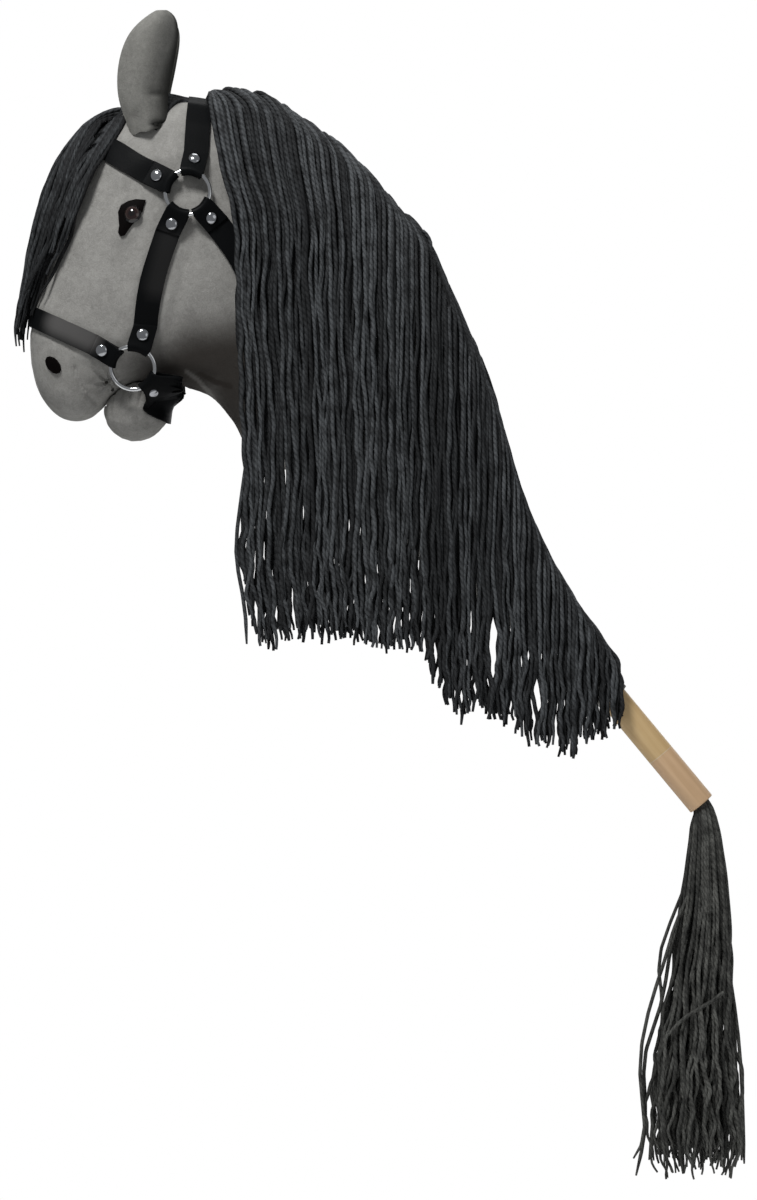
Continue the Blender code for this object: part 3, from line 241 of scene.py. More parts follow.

# %% [markdown]
# ## Yarn
# Mane, forelock and tail are chunky two-ply yarn: two soft threads twisted round each other. The strands'
# tree below leaves an attribute called ply on each tube, with the cosine and sine of the angle round it
# and the distance along it. Twice the angle plus a share of the distance is a two-start screw, which is
# the twist. Its height drives the bump and paints the groove between the threads darker, a painted shade.
# The dye took unevenly, so a slow noise makes each strand lighter and darker along its length.

# %% Yarn group
def yarn_twist_group():
    tree, given, out = shader_group(
        "Yarn twist",
        [("Light", COLOUR, (0.05, 0.055, 0.06, 1)), ("Shade and dark dye", COLOUR, (0.005, 0.005, 0.006, 1)),
         ("Pitch", VALUE, 0.0066), ("Twist", VALUE, 0.6)],
        [("Colour", COLOUR), ("Height", VALUE)],
    )
    ply = add(tree, "ShaderNodeAttribute", attribute_name="ply").outputs["Vector"]
    cosine, sine, along = add(tree, "ShaderNodeSeparateXYZ", {0: ply}).outputs
    turn = times(tree, calc(tree, "DIVIDE", along, given["Pitch"]), 2 * math.pi)
    double_sine = times(tree, times(tree, cosine, sine), 2.0)
    double_cosine = calc(tree, "SUBTRACT", times(tree, cosine, cosine), times(tree, sine, sine))
    screw = calc(tree, "ADD", times(tree, double_sine, calc(tree, "COSINE", turn)),
                 times(tree, double_cosine, calc(tree, "SINE", turn)))
    rounded = calc(tree, "POWER", scaled(tree, screw, 0.5, 0.5, clamp=True), 0.45)
    where = place_of(tree)
    fuzz = noise_at(tree, where, 800.0, 3.0)
    dye = centred(tree, noise_at(tree, where, 85.0, 3.0), 2.6, 0.85)
    ridge = scaled(tree, rounded, given["Twist"], calc(tree, "SUBTRACT", 1.0, given["Twist"]))
    mottle = times(tree, scaled(tree, fuzz, 1.5, 0.2), dye)
    bright = calc(tree, "MULTIPLY", times(tree, ridge, mottle), value_of(tree, "tone"), clamp=True)
    tree.links.new(mixed(tree, bright, given["Shade and dark dye"], given["Light"]), out["Colour"])
    tree.links.new(scaled(tree, fuzz, 0.25, rounded), out["Height"])
    return tree


yarn_twist = yarn_twist_group()
print("group", yarn_twist.name)

# %% [markdown]
# ## Wood
# The stick is a pale softwood dowel. Its grain runs along it, so the coordinates are turned to the
# stick's slope and squeezed across it. Long streaks carry the colour, and short dark pores carry the bump.

# %% Wood group
STICK_SLOPE = math.radians(50.3)
DOWN_STICK = Vector((math.cos(STICK_SLOPE), 0.0, -math.sin(STICK_SLOPE)))
STREAKS = (9.0, 150.0, 150.0)       # per metre, along the stick and across it
PORES = (90.0, 1500.0, 1500.0)


def wood_grain_group():
    tree, given, out = shader_group(
        "Wood grain",
        [("Light", COLOUR, (0.6, 0.4, 0.2, 1)), ("Dark", COLOUR, (0.4, 0.25, 0.1, 1)),
         ("Pores", VALUE, 0.25)],
        [("Colour", COLOUR), ("Height", VALUE)],
    )
    turned = add(tree, "ShaderNodeMapping", {"Vector": place_of(tree), "Rotation": (0.0, -STICK_SLOPE, 0.0)})
    long, short = (add(tree, "ShaderNodeMapping", {"Vector": turned.outputs[0], "Scale": sizes}).outputs[0]
                   for sizes in (STREAKS, PORES))
    bands = noise_at(tree, long, 1.0, 4.0)
    pores = noise_at(tree, short, 1.0, 2.0)
    dark = times(tree, calc(tree, "SUBTRACT", pores, 0.55, clamp=True), given["Pores"])
    share = calc(tree, "ADD", centred(tree, bands, 2.2, 0.5), dark, clamp=True)
    tree.links.new(mixed(tree, share, given["Light"], given["Dark"]), out["Colour"])
    tree.links.new(times(tree, pores, -1.0), out["Height"])
    return tree


wood_grain = wood_grain_group()
print("group", wood_grain.name)

# %% [markdown]
# ## The finishes
# Each material holds its own Principled shader, and takes its changing colour, roughness and bump from the
# groups. A number that is the same all over the surface is set on the shader's own socket.

# %% Finish helpers
def finish(name, **constants):
    made = bpy.data.materials.new(name)
    made.use_nodes = True
    shader = made.node_tree.nodes["Principled BSDF"]
    for socket, value in constants.items():
        shader.inputs[socket.replace("_", " ")].default_value = value
    return made, made.node_tree, shader.inputs


def grouped(name, group, inputs, strength, depth, **constants):
    """A finish whose colour or roughness comes from a group, with a bump of that strength and depth."""
    made, tree, shader = finish(name, **constants)
    look = add(tree, "ShaderNodeGroup", inputs, node_tree=group).outputs
    for output, socket in (("Colour", "Base Color"), ("Roughness", "Roughness")):
        if output in look:
            tree.links.new(look[output], shader[socket])
    bump = add(tree, "ShaderNodeBump", {"Height": look["Height"], "Strength": strength, "Distance": depth})
    tree.links.new(bump.outputs["Normal"], shader["Normal"])
    return made, tree, shader


def turn_colour(tree, shader, attribute, colour):
    """Where the mesh's attribute is above 0, the base colour turns to this one."""
    base = shader["Base Color"]
    under = base.links[0].from_socket if base.is_linked else tuple(base.default_value)
    tree.links.new(mixed(tree, value_of(tree, attribute), under, (*colour, 1)), base)


print("finish helpers ready")

# %% [markdown]
# ## Five kinds of surface
# Felt, leather, yarn and wood take their pattern from a group. Felt may also turn to a darker colour where
# the mesh carries a mark of painted shade, and leather to a paler grey where it carries a mark of painted
# sheen. Metal needs no group, because only a faint smear changes its roughness.

# %% Kinds of finish
def felt(name, colour, shade, clouds=0.35, dingy=None):
    made, tree, shader = grouped(
        name, felt_nap, {"Colour": (*colour, 1), "Shade": (*shade, 1), "Clouds": clouds}, 0.55, 0.0012,
        Roughness=0.95, Specular_IOR_Level=0.3)
    # Where the mesh is marked, the felt turns to the darker colour: a painted shade.
    if dingy:
        turn_colour(tree, shader, "dingy", dingy)
    return made


def leather(name, colour, polish, pebbles=900.0, shine=0.04, rubbed=None):
    made, tree, shader = grouped(
        name, leather_grain, {"Polish": polish, "Pebbles per metre": pebbles}, 0.25, 0.0004,
        Base_Color=(*colour, 1), Specular_IOR_Level=shine)
    # Where the strap is marked, the leather turns to a paler grey: a painted sheen.
    if rubbed:
        turn_colour(tree, shader, "rubbed", rubbed)
    return made


def yarn(name, light, shade_and_dark_dye):
    return grouped(name, yarn_twist, {"Light": (*light, 1), "Shade and dark dye": (*shade_and_dark_dye, 1)}, 0.7, 0.0012,
                   Roughness=0.80, Specular_IOR_Level=0.3)[0]


def wood(name, light, dark):
    return grouped(name, wood_grain, {"Light": (*light, 1), "Dark": (*dark, 1)}, 0.12, 0.0004,
                   Roughness=0.5, Coat_Weight=0.08, Coat_Roughness=0.35)[0]


def chrome(name, colour, roughness, smears=0.14):
    made, tree, shader = finish(name, Base_Color=(*colour, 1), Metallic=1.0)
    smeared = scaled(tree, noise_at(tree, place_of(tree), 240.0, 4.0), smears, roughness - smears / 2)
    tree.links.new(smeared, shader["Roughness"])
    return made


print("five kinds of finish")

# %% [markdown]
# ## The finishes by name
# The head is mid grey felt, and the ears are a little darker. The mane's yarn is a bluish black, and the
# tail's is lighter and warmer. The lower length of the stick is slightly pinker than the upper.

# %% Materials
# The head felt's last colour is a painted shade, dark brown, for the throat's hollow.
head_felt = felt("head_felt", (0.365, 0.358, 0.338), (0.205, 0.200, 0.187), 0.9, (0.030, 0.025, 0.021))
# The ear felt's last colour is a painted shade for the rear edge and the creases.
ear_felt = felt("ear_felt", (0.275, 0.272, 0.251), (0.140, 0.138, 0.127), 0.7, (0.012, 0.012, 0.010))
# The strap leather's last colour is a painted sheen, a grey that stands in for reflected light.
strap_leather = leather("strap_leather", (0.0042, 0.0046, 0.0050), 0.42, rubbed=(0.105, 0.102, 0.100))
patch_leather = leather("patch_leather", (0.0030, 0.0022, 0.0022), 0.55, 500.0, shine=0.03)
ring_chrome = chrome("ring_chrome", (0.66, 0.67, 0.68), 0.14)
rivet_chrome = chrome("rivet_chrome", (0.44, 0.45, 0.47), 0.15)
# Each yarn's second colour is both the painted shade in the twist's groove and the darkest dye.
mane_yarn = yarn("mane_yarn", (0.081, 0.087, 0.092), (0.0020, 0.0022, 0.0028))
tail_yarn = yarn("tail_yarn", (0.128, 0.129, 0.118), (0.0056, 0.0056, 0.0052))
upper_wood = wood("upper_wood", (0.700, 0.500, 0.255), (0.540, 0.355, 0.155))
lower_wood = wood("lower_wood", (0.720, 0.490, 0.290), (0.570, 0.365, 0.200))
glue_pale = wood("glue_pale", (0.72, 0.60, 0.42), (0.60, 0.48, 0.32))
tape_felt = felt("tape_felt", (0.020, 0.020, 0.022), (0.010, 0.010, 0.011))
thread_dark = felt("thread_dark", (0.060, 0.058, 0.052), (0.020, 0.019, 0.017))
print("finishes", len(bpy.data.materials))

# %% [markdown]
# ## The eye's finish
# The eye is a glass-like dome over a painted iris. The dome's mesh below carries an attribute called
# spot, 0 at the pupil's centre and 1 at the rim. A colour ramp paints the pupil, a dark red-brown iris,
# a thin pale arc and the black rim.

# %% Eye material
EYE_STOPS = ((0.0, (0.003, 0.002, 0.002)), (0.36, (0.004, 0.002, 0.002)), (0.44, (0.020, 0.006, 0.005)),
             (0.62, (0.013, 0.004, 0.003)), (0.70, (0.055, 0.033, 0.027)), (0.77, (0.006, 0.003, 0.003)),
             (1.0, (0.003, 0.003, 0.003)))


def eye_glass():
    made, tree, shader = finish("eye_glass", Roughness=0.07, Coat_Weight=0.5, Coat_Roughness=0.03)
    ramp = add(tree, "ShaderNodeValToRGB", {"Fac": value_of(tree, "spot")})
    elements = ramp.color_ramp.elements
    for element, (position, colour) in zip(elements, (EYE_STOPS[0], EYE_STOPS[-1])):
        element.position, element.color = position, (*colour, 1)
    for position, colour in EYE_STOPS[1:-1]:
        elements.new(position).color = (*colour, 1)
    tree.links.new(ramp.outputs["Color"], shader["Base Color"])
    return made


eye_finish = eye_glass()
print("eye finish", eye_finish.name)

# %% [markdown]
# ## Working on copies
# A CAD node's mesh is loose triangles. A copy is merged first, then worked on. These helpers copy nodes,
# turn a worked mesh into a piece, and bake whatever modifiers a piece has into a plain mesh.

# %% Mesh helpers
SAME_POINT = 2e-6
SHARP = math.radians(35)


def finished_mesh(name, work):
    mesh = bpy.data.meshes.new(name)
    work.to_mesh(mesh)
    work.free()
    return mesh


def merged_copy(name, *sources, squares=False):
    """One mesh of the CAD nodes' triangles, with their corners merged and, if asked, joined to squares."""
    work = bmesh.new()
    for source in sources:
        work.from_mesh(nodes[source].data)
    bmesh.ops.remove_doubles(work, verts=work.verts, dist=SAME_POINT)
    if squares:
        bmesh.ops.join_triangles(work, faces=work.faces, angle_face_threshold=0.5, angle_shape_threshold=1.2)
    return finished_mesh(name, work)


def piece(name, mesh, material, smooth=True):
    thing = bpy.data.objects.new(name, mesh)
    scene.collection.objects.link(thing)
    mesh.materials.clear()
    mesh.materials.append(material)
    if smooth:
        mesh.shade_smooth()
    return thing


def baked(thing):
    """The piece with its modifiers applied, as a plain mesh."""
    graph = bpy.context.evaluated_depsgraph_get()
    mesh = bpy.data.meshes.new_from_object(thing.evaluated_get(graph))
    thing.modifiers.clear()
    old = thing.data
    thing.data = mesh
    if old.users == 0:
        bpy.data.meshes.remove(old)
    return thing


def subdivided(thing, levels=1):
    smooth = thing.modifiers.new("smooth", "SUBSURF")
    smooth.levels = smooth.render_levels = levels
    return baked(thing)


print("mesh helpers ready")

# %% [markdown]
# ## Moving and marking points
# A mesh hands over all its points or normals as one table of numbers, which is quick to work on, and
# takes them back. A mark is one number for each point. Two soft curves turn a distance into a share: one
# steps from 0 to 1, the other is a bell.

# %% Point helpers
def points_of(mesh, kind="co"):
    flat = np.empty(len(mesh.vertices) * 3)
    mesh.vertices.foreach_get(kind, flat)
    return flat.reshape(-1, 3)


def normals_of(mesh):
    return points_of(mesh, "normal")


def set_points(mesh, points):
    mesh.vertices.foreach_set("co", np.asarray(points, float).ravel())
    mesh.update()


def mark(mesh, attribute, values):
    """A number for each point, which a finish or a tree reads by its name."""
    mesh.attributes.new(attribute, "FLOAT", "POINT").data.foreach_set("value", np.asarray(values, np.float32))


def surface_of(*names):
    """A tree for finding points on the CAD nodes' surfaces."""
    points, faces = [], []
    for name in names:
        mesh = nodes[name].data
        start = len(points)
        points += [vertex.co.copy() for vertex in mesh.vertices]
        faces += [[start + k for k in face.vertices] for face in mesh.polygons]
    return BVHTree.FromPolygons(points, faces)


def steps(low, high, value):
    """0 below low, 1 above high and a smooth turn between, for numbers or arrays."""
    share = np.clip((value - low) / (high - low), 0.0, 1.0)
    return share * share * (3 - 2 * share)


def bell(value, width):
    """1 where the value is 0, and next to nothing beyond twice the width."""
    return np.exp(-(value / width) ** 2)


print("point helpers ready")

# %% [markdown]
# ## Stuffed forms
# The head and neck are one felt skin, sewn along the middle and packed with filling. A real skin is cut
# flat and swells when it is filled, and stays down where a seam or a strap holds it. So the CAD form is
# remeshed to even squares, drawn in a little, and blown up by the cloth solver with pressure inside and no
# gravity. The points at the seam and under the halter are held. A cap keeps every point near its place.

# %% An even grid
def remeshed(name, sources, size, rod=None):
    """An even grid over the CAD nodes; a rod is the start, end and radius of what fills a thin tube."""
    thing = piece(name, merged_copy(name, *sources), head_felt)
    if rod:
        start, end, radius = rod
        turn = (end - start).to_track_quat("Z", "Y").to_matrix().to_4x4()
        work = bmesh.new()
        work.from_mesh(thing.data)
        bmesh.ops.create_cone(work, cap_ends=True, segments=48, radius1=radius, radius2=radius,
                              depth=(end - start).length, matrix=Matrix.Translation((start + end) / 2) @ turn)
        work.to_mesh(thing.data)
        work.free()
    grid = thing.modifiers.new("grid", "REMESH")
    grid.mode = "VOXEL"
    grid.voxel_size = size
    return baked(thing)


print("grid ready")

# %% [markdown]
# ## The filling
# A point's hold is found from how near it is to what presses or sews the felt down. The solver gets the
# holds as a vertex group and runs for a few ticks, which is enough for so small a change.

# %% Filling
FELT_CLOTH = {"quality": 4, "mass": 0.25, "tension_stiffness": 12.0, "compression_stiffness": 12.0,
              "shear_stiffness": 6.0, "bending_stiffness": 0.6, "use_pressure": True,
              "uniform_pressure_force": 4.0, "vertex_group_mass": "held"}
FILLING_TICKS = 20


def nearness(points, names, near, far):
    """1 for points closer than near to the CAD nodes, 0 further than far."""
    surface = surface_of(*names)
    gaps = np.array([surface.find_nearest(Vector(p), far)[3] or far for p in points])
    return 1.0 - steps(near, far, gaps)


def swell(thing, held, drawn_in, cap):
    """Blows the piece up from a slightly smaller shape, and keeps each point within the cap."""
    mesh = thing.data
    home = points_of(mesh)
    free = 1.0 - held
    set_points(mesh, home - normals_of(mesh) * (drawn_in * free)[:, None])
    group = thing.vertex_groups.new(name="held")
    for index, weight in enumerate(held):
        if weight > 0.01:
            group.add([index], float(weight), "REPLACE")
    cloth = thing.modifiers.new("filling", "CLOTH").settings
    for rule, value in FELT_CLOTH.items():
        setattr(cloth, rule, value)
    cloth.effector_weights.gravity = 0.0
    for tick in range(1, FILLING_TICKS + 1):
        scene.frame_set(tick)
        bpy.context.view_layer.update()
    graph = bpy.context.evaluated_depsgraph_get()
    reached = points_of(thing.evaluated_get(graph).to_mesh())
    thing.evaluated_get(graph).to_mesh_clear()
    thing.modifiers.clear()
    scene.frame_set(1)
    moved = reached - home
    far = np.linalg.norm(moved, axis=1)
    room = cap * free + 1e-9
    moved *= np.minimum(1.0, room / np.maximum(far, 1e-9))[:, None]
    set_points(mesh, home + moved)
    print(thing.name, "swelled by at most", round(float(np.minimum(far, room).max()) / MM, 2), "mm")


print("filling ready")

# %% [markdown]
# ## The head and neck
# The skin ends in a thin tube on the stick, tied with a cord. The remesh would tear a tube so thin, so a
# rod fills it first. Afterwards the tube is set clear of the stick, with small gathers at the cord.

# %% Head and neck
STRAPS = ("crown_strap", "browband", "noseband", "chin_strap", "throat_latch",
          "cheek_strap_left", "cheek_strap_right")
ON_SKIN = [f"{kind}_{side}" for kind in ("eye_patch", "nostril", "upper_ring", "lower_ring", "ear")
           for side in SIDES]
SKIN = ("skin_panel_left", "skin_panel_right")
TUBE_FROM, TUBE_TO = -0.190, -0.0742            # along the stick from its joint
TUBE_RADIUS = 0.0160
TUBE_CLEARANCE = 0.0008
TIE_AT = -0.083
TIE_FOLDS, TIE_FOLD_DEPTH = 9, 0.0010


def tie_gathers(thing):
    points = points_of(thing.data)
    down = np.array(DOWN_STICK)
    along = points @ down
    spokes = points - along[:, None] * down
    radius = np.linalg.norm(spokes, axis=1)
    tube = (along > TUBE_FROM) & (along < TUBE_TO - 0.0015) & (radius > TUBE_RADIUS / 2)
    around = np.arctan2(spokes[:, 1], spokes @ np.array((down[2], 0.0, -down[0])))
    beside = along - TIE_AT
    fold = TIE_FOLD_DEPTH * np.cos(TIE_FOLDS * around) * (1 - bell(beside, 0.0045)) * bell(beside, 0.022)
    wanted = np.maximum(radius, TUBE_RADIUS + TUBE_CLEARANCE) + fold
    points[tube] += spokes[tube] * (wanted[tube] / radius[tube] - 1)[:, None]
    set_points(thing.data, points)


def head_and_neck():
    rod = (DOWN_STICK * TUBE_FROM, DOWN_STICK * TUBE_TO, TUBE_RADIUS)
    thing = remeshed("head_skin", (*SKIN, "head_stuffing", "neck_stuffing"), 0.0048, rod)
    points = points_of(thing.data)
    swell(thing, np.maximum.reduce([
        nearness(points, STRAPS, 0.0045, 0.017),
        nearness(points, ON_SKIN, 0.003, 0.012),
        nearness(points, ("lower_jaw", "mane_tape"), 0.002, 0.008),
        1.0 - steps(0.003, 0.010, np.abs(points[:, 1])),
        steps(TUBE_FROM - 0.03, TUBE_FROM, points @ np.array(DOWN_STICK)),
    ]), 0.0015, 0.0026)
    subdivided(thing)
    tie_gathers(thing)
    return thing


head_skin = head_and_neck()
print("head skin", len(head_skin.data.polygons), "faces")

# %% [markdown]
# ## Paths and lumps
# Folds, shades and rubbed places follow paths seen from the side. A helper finds how far each point is
# from a path. Another adds soft lumps from a noise, for a filling that is never quite even.

# %% Path helpers
def bumps(points, *waves):
    """Soft lumps: each wave is (how many per metre, how high)."""
    return sum(high * np.array([noise.noise(Vector(p) * often) for p in points]) for often, high in waves)


def nearest_on(points, path, values):
    """How far each point is from a path of places, and the value at the nearest place on the path."""
    best = np.full(len(points), np.inf)
    found = np.zeros(len(points))
    for start, end, low, high in zip(path, path[1:], values, values[1:]):
        run = end - start
        share = np.clip((points - start) @ run / (run @ run), 0.0, 1.0)
        gaps = np.linalg.norm(points - start - share[:, None] * run, axis=1)
        closer = gaps < best
        best[closer] = gaps[closer]
        found[closer] = (low + (high - low) * share)[closer]
    return best, found


def gap_to(points, path):
    """How far each point is, seen from the side, from a path of (x, z) places."""
    return nearest_on(points[:, (0, 2)], np.array(path), np.zeros(len(path)))[0]


print("path helpers ready")

# %% [markdown]
# ## Seam, gathers and painted shade
# The remesh wipes out anything narrower than a square, so the sewn line comes after it. The seam is a
# narrow channel between two low welts along the middle. Small pleats run out from the mouth's corner,
# where the jaw's pouch is drawn in, and broad soft dents show where the filling is uneven. The felt in the
# throat's hollow and along a fold there is painted dark brown, a painted shade, lifted along the seam there.

# %% Seam, pleats and painted shade
MOUTH_CORNER = (-0.553, 0.372)      # X and Z, as in the paths
MUZZLE_FOLD = ((-0.564, 0.350), (-0.574, 0.359), (-0.583, 0.372), (-0.588, 0.388))
# Paths seen from the side for the painted shade: the throat's hollow, a fold in it, and the seam, where the
# painted shade is lifted.
THROAT_SHADE = ((-0.496, 0.372), (-0.462, 0.392), (-0.432, 0.396), (-0.420, 0.350))
THROAT_FOLD_SHADE = ((-0.464, 0.383), (-0.448, 0.375), (-0.432, 0.370))
THROAT_SEAM = ((-0.477, 0.385), (-0.466, 0.377), (-0.455, 0.365), (-0.443, 0.349))
SEAM_DEPTH, WELT_HEIGHT, WELT_FROM_SEAM = 0.0013, 0.0007, 0.0050
MOUTH_PLEATS = 9


def sew_head(thing):
    mesh = thing.data
    points = points_of(mesh)
    side = np.abs(points[:, 1])
    channel = WELT_HEIGHT * bell(side - WELT_FROM_SEAM, 0.0024) - SEAM_DEPTH * bell(side, 0.0016)
    across, up = points[:, 0] - MOUTH_CORNER[0], points[:, 2] - MOUTH_CORNER[1]
    fade = bell(np.hypot(across, up), 0.019) * steps(0.018, 0.030, side)
    pleats = fade * (0.0019 * np.cos(MOUTH_PLEATS * np.arctan2(up, across) + 0.6) - 0.0020)
    pleats -= 0.0016 * bell(gap_to(points, MUZZLE_FOLD), 0.0026) * steps(0.012, 0.024, side)
    dents = bumps(points, (21.0, 0.0009), (47.0, 0.00045))
    free = 1 - nearness(points, (*STRAPS, *ON_SKIN), 0.002, 0.009)
    set_points(mesh, points + normals_of(mesh) * ((channel + pleats + dents) * free)[:, None])


def paint_throat_shade(thing):
    points = points_of(thing.data)
    # Painted shade: dark in the throat's hollow and along its fold, less along the seam.
    painted_dark = np.maximum(0.95 * (1 - steps(0.010, 0.064, gap_to(points, THROAT_SHADE))),
                       1 - steps(0.002, 0.007, gap_to(points, THROAT_FOLD_SHADE)))
    painted_dark -= 0.30 * (1 - steps(0.0012, 0.0030, gap_to(points, THROAT_SEAM)))
    mark(thing.data, "dingy", np.clip(painted_dark, 0.0, 1.0))


sew_head(head_skin)
paint_throat_shade(head_skin)
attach(head_skin, "head_and_stick")
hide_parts("skin_panel_left", "skin_panel_right", "head_stuffing", "neck_stuffing")
print("head sewn")

# %% [markdown]
# ## The lower jaw
# The jaw is a round felt pouch sewn under the head. Its opening is gathered, so soft folds run down it
# from the sewn edge. It gets the same filling as the head, then the folds are pushed in along it.

# %% Lower jaw
JAW_FOLD_DEPTH = 0.0015
JAW_HALF_WIDTH = 0.035


def jaw():
    thing = remeshed("jaw_pouch", ("lower_jaw",), 0.0030)
    mesh = thing.data
    points = points_of(mesh)
    swell(thing, np.maximum(nearness(points, ("head_stuffing",), 0.001, 0.006),
                            nearness(points, ("chin_strap",), 0.003, 0.008)), 0.0010, 0.0022)
    mesh = subdivided(thing).data
    points = points_of(mesh)
    low, high = points.min(0), points.max(0)
    middle = (low + high) / 2
    across = (points[:, 0] - middle[0]) / (high[0] - low[0])
    depth = (high[2] - points[:, 2]) / (high[2] - low[2])
    turn = across * 20.0 + 2.2 * depth + 3.0 * np.abs(points[:, 1] - middle[1]) / JAW_HALF_WIDTH
    folds = np.abs(np.sin(turn)) ** 6 * (1 - steps(0.35, 0.85, depth)) * steps(-0.1, 0.25, depth)
    free = 1 - nearness(points, ("chin_strap",), 0.002, 0.006)
    set_points(mesh, points - normals_of(mesh) * (JAW_FOLD_DEPTH * folds * free)[:, None])
    return thing


jaw_pouch = jaw()
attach(jaw_pouch, "head_and_stick")
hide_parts("lower_jaw")
print("jaw", len(jaw_pouch.data.polygons), "faces")

# %% [markdown]
# ## Straps and patches
# Straps, patches and ears keep the CAD outline, so a copy is enough: its triangles are joined to
# four-sided faces, its sharp edges are rounded with a bevel, and a subdivision smooths the bends. The
# chin strap is cut wider towards the throat where it turns under the jaw. A painted sheen, a paler grey
# that stands in for reflected light, lies on the noseband and, fainter, on a cheek strap.

# %% Straps and patches
CHIN_REAR = np.array([(-505, 56, 386), (-504, 52, 379), (-508, 44, 366), (-508, 26, 363), (-502, 24, 359),
                      (-498, 19, 356), (-494, 13, 355), (-491, 0, 354)]) * MM     # the strap's rear edge
CHIN_WIDER = np.array([4, 24, 28, 27, 20, 12, 5, 0]) * MM
CHIN_REACH = 0.010
# Painted sheen: a path seen from the side along which the leather is painted paler, and how much.
PAINTED_SHEEN = {"noseband": (((-0.606, 0.433), (-0.574, 0.418)), 0.95),
          "cheek_strap_left": (((-0.494, 0.516), (-0.505, 0.470)), 0.13)}     # path, how much


def rounded_copy(name, source, material, edge, levels=1):
    thing = piece(name, merged_copy(name, source, squares=True), material)
    bevel = thing.modifiers.new("edge", "BEVEL")
    bevel.width = edge
    bevel.segments = 2
    bevel.limit_method = "ANGLE"
    bevel.angle_limit = math.radians(50)
    return subdivided(thing, levels) if levels else baked(thing)


def on_head(thing, source):
    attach(thing, "head_and_stick")
    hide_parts(source)
    return thing


def spread_chin_strap(mesh):
    points = points_of(mesh)
    mirrored = np.column_stack([points[:, 0], np.abs(points[:, 1]), points[:, 2]])
    gaps, wider = nearest_on(mirrored, CHIN_REAR, CHIN_WIDER)
    points[:, 0] += wider * (1 - steps(0.0, CHIN_REACH, gaps))
    set_points(mesh, points)


straps = {}
for strap in STRAPS:
    thing = on_head(rounded_copy(f"{strap}_leather", strap, strap_leather, 0.00055), strap)
    straps[strap] = thing.data
    if strap in PAINTED_SHEEN:
        path, most = PAINTED_SHEEN[strap]
        mark(thing.data, "rubbed", most * (1 - steps(0.003, 0.020, gap_to(points_of(thing.data), path))))
spread_chin_strap(straps["chin_strap"])
for side in SIDES:
    for kind in ("eye_patch", "nostril"):
        patch = rounded_copy(f"{kind}_{side}_piece", f"{kind}_{side}", patch_leather, 0.0004, 0)
        patch.data.set_sharp_from_angle(angle=SHARP)
        on_head(patch, f"{kind}_{side}")
print("straps", {name: len(mesh.polygons) for name, mesh in straps.items()})

# %% [markdown]
# ## Ears
# Each ear is one leaf of thick felt, folded lengthwise at its root and pinched, so that it cups
# forwards. The copy is subdivided, and creases run up from the root, with a fold across and a tuck at the
# base. A painted shade darkens the felt along the ear's rear edge and in the folds.

# %% Ears
EAR_ROWS = 24                       # heights at which the rear edge is looked up
# The strip of painted shade along the rear edge, and the creases, which are pushed in and painted darker.
EAR_SHADE_WIDTH = ((0.0, 0.2, 0.5, 0.7, 0.85, 1.0), (0.012, 0.014, 0.013, 0.008, 0.005, 0.003))     # height, width
EAR_MARKS = (((0.34, 0.022), (0.60, 0.13), 0.0022, 0.45), ((0.085, 0.020), (0.68, 0.16), 0.0022, 0.75),
             ((0.15, 0.035), (0.28, 0.10), 0.0012, 0.25))     # place and width up, along; depth; painted shade


def ear(side):
    thing = rounded_copy(f"ear_{side}_felt", f"ear_{side}", ear_felt, 0.0009, 2)
    mesh = thing.data
    points = points_of(mesh)
    low, high = points.min(0), points.max(0)
    up = (points[:, 2] - low[2]) / (high[2] - low[2])
    along = (points[:, 0] - low[0]) / (high[0] - low[0])
    rows = np.clip((up * EAR_ROWS).astype(int), 0, EAR_ROWS - 1)
    rear = [points[rows == row, 0].max() if (rows == row).any() else high[0] for row in range(EAR_ROWS)]
    from_rear = np.interp(up, (np.arange(EAR_ROWS) + 0.5) / EAR_ROWS, rear) - points[:, 0]
    # Painted shade: the strip along the rear edge, where the ear turns away from the light, and the creases.
    ear_shade = 0.92 * (1 - steps(0.0, 1.0, from_rear / np.interp(up, *EAR_SHADE_WIDTH))) ** 0.8
    moved = 0.0011 * np.cos(along * 24.0 + up * 3.0) * (1 - steps(0.02, 0.30, up))
    moved += bumps(points, (34.0, 0.0008))
    for (height, tall), (place, wide), depth, dark in EAR_MARKS:
        crease = bell(up - height, tall) * bell(along - place, wide)
        moved -= depth * crease
        ear_shade += dark * crease
    set_points(mesh, points + normals_of(mesh) * moved[:, None])
    mark(mesh, "dingy", np.clip(ear_shade, 0.0, 1.0))
    return on_head(thing, f"ear_{side}")


print("ears", [len(ear(side).data.polygons) for side in SIDES])

# %% [markdown]
# ## Turned and ring shapes
# Domes, dowels and rings are shapes of revolution. One helper turns a profile of (distance, radius)
# pairs round an axis. It closes the shape where the radius is zero, or joins the profile's end to its
# start, which makes a ring.

# %% Turning helpers
def frame_on(axis):
    """The axis and two directions square to it."""
    axis = Vector(axis).normalized()
    other = Vector((0.0, 0.0, 1.0)) if abs(axis.z) < 0.9 else Vector((1.0, 0.0, 0.0))
    first = axis.cross(other).normalized()
    return axis, first, axis.cross(first)


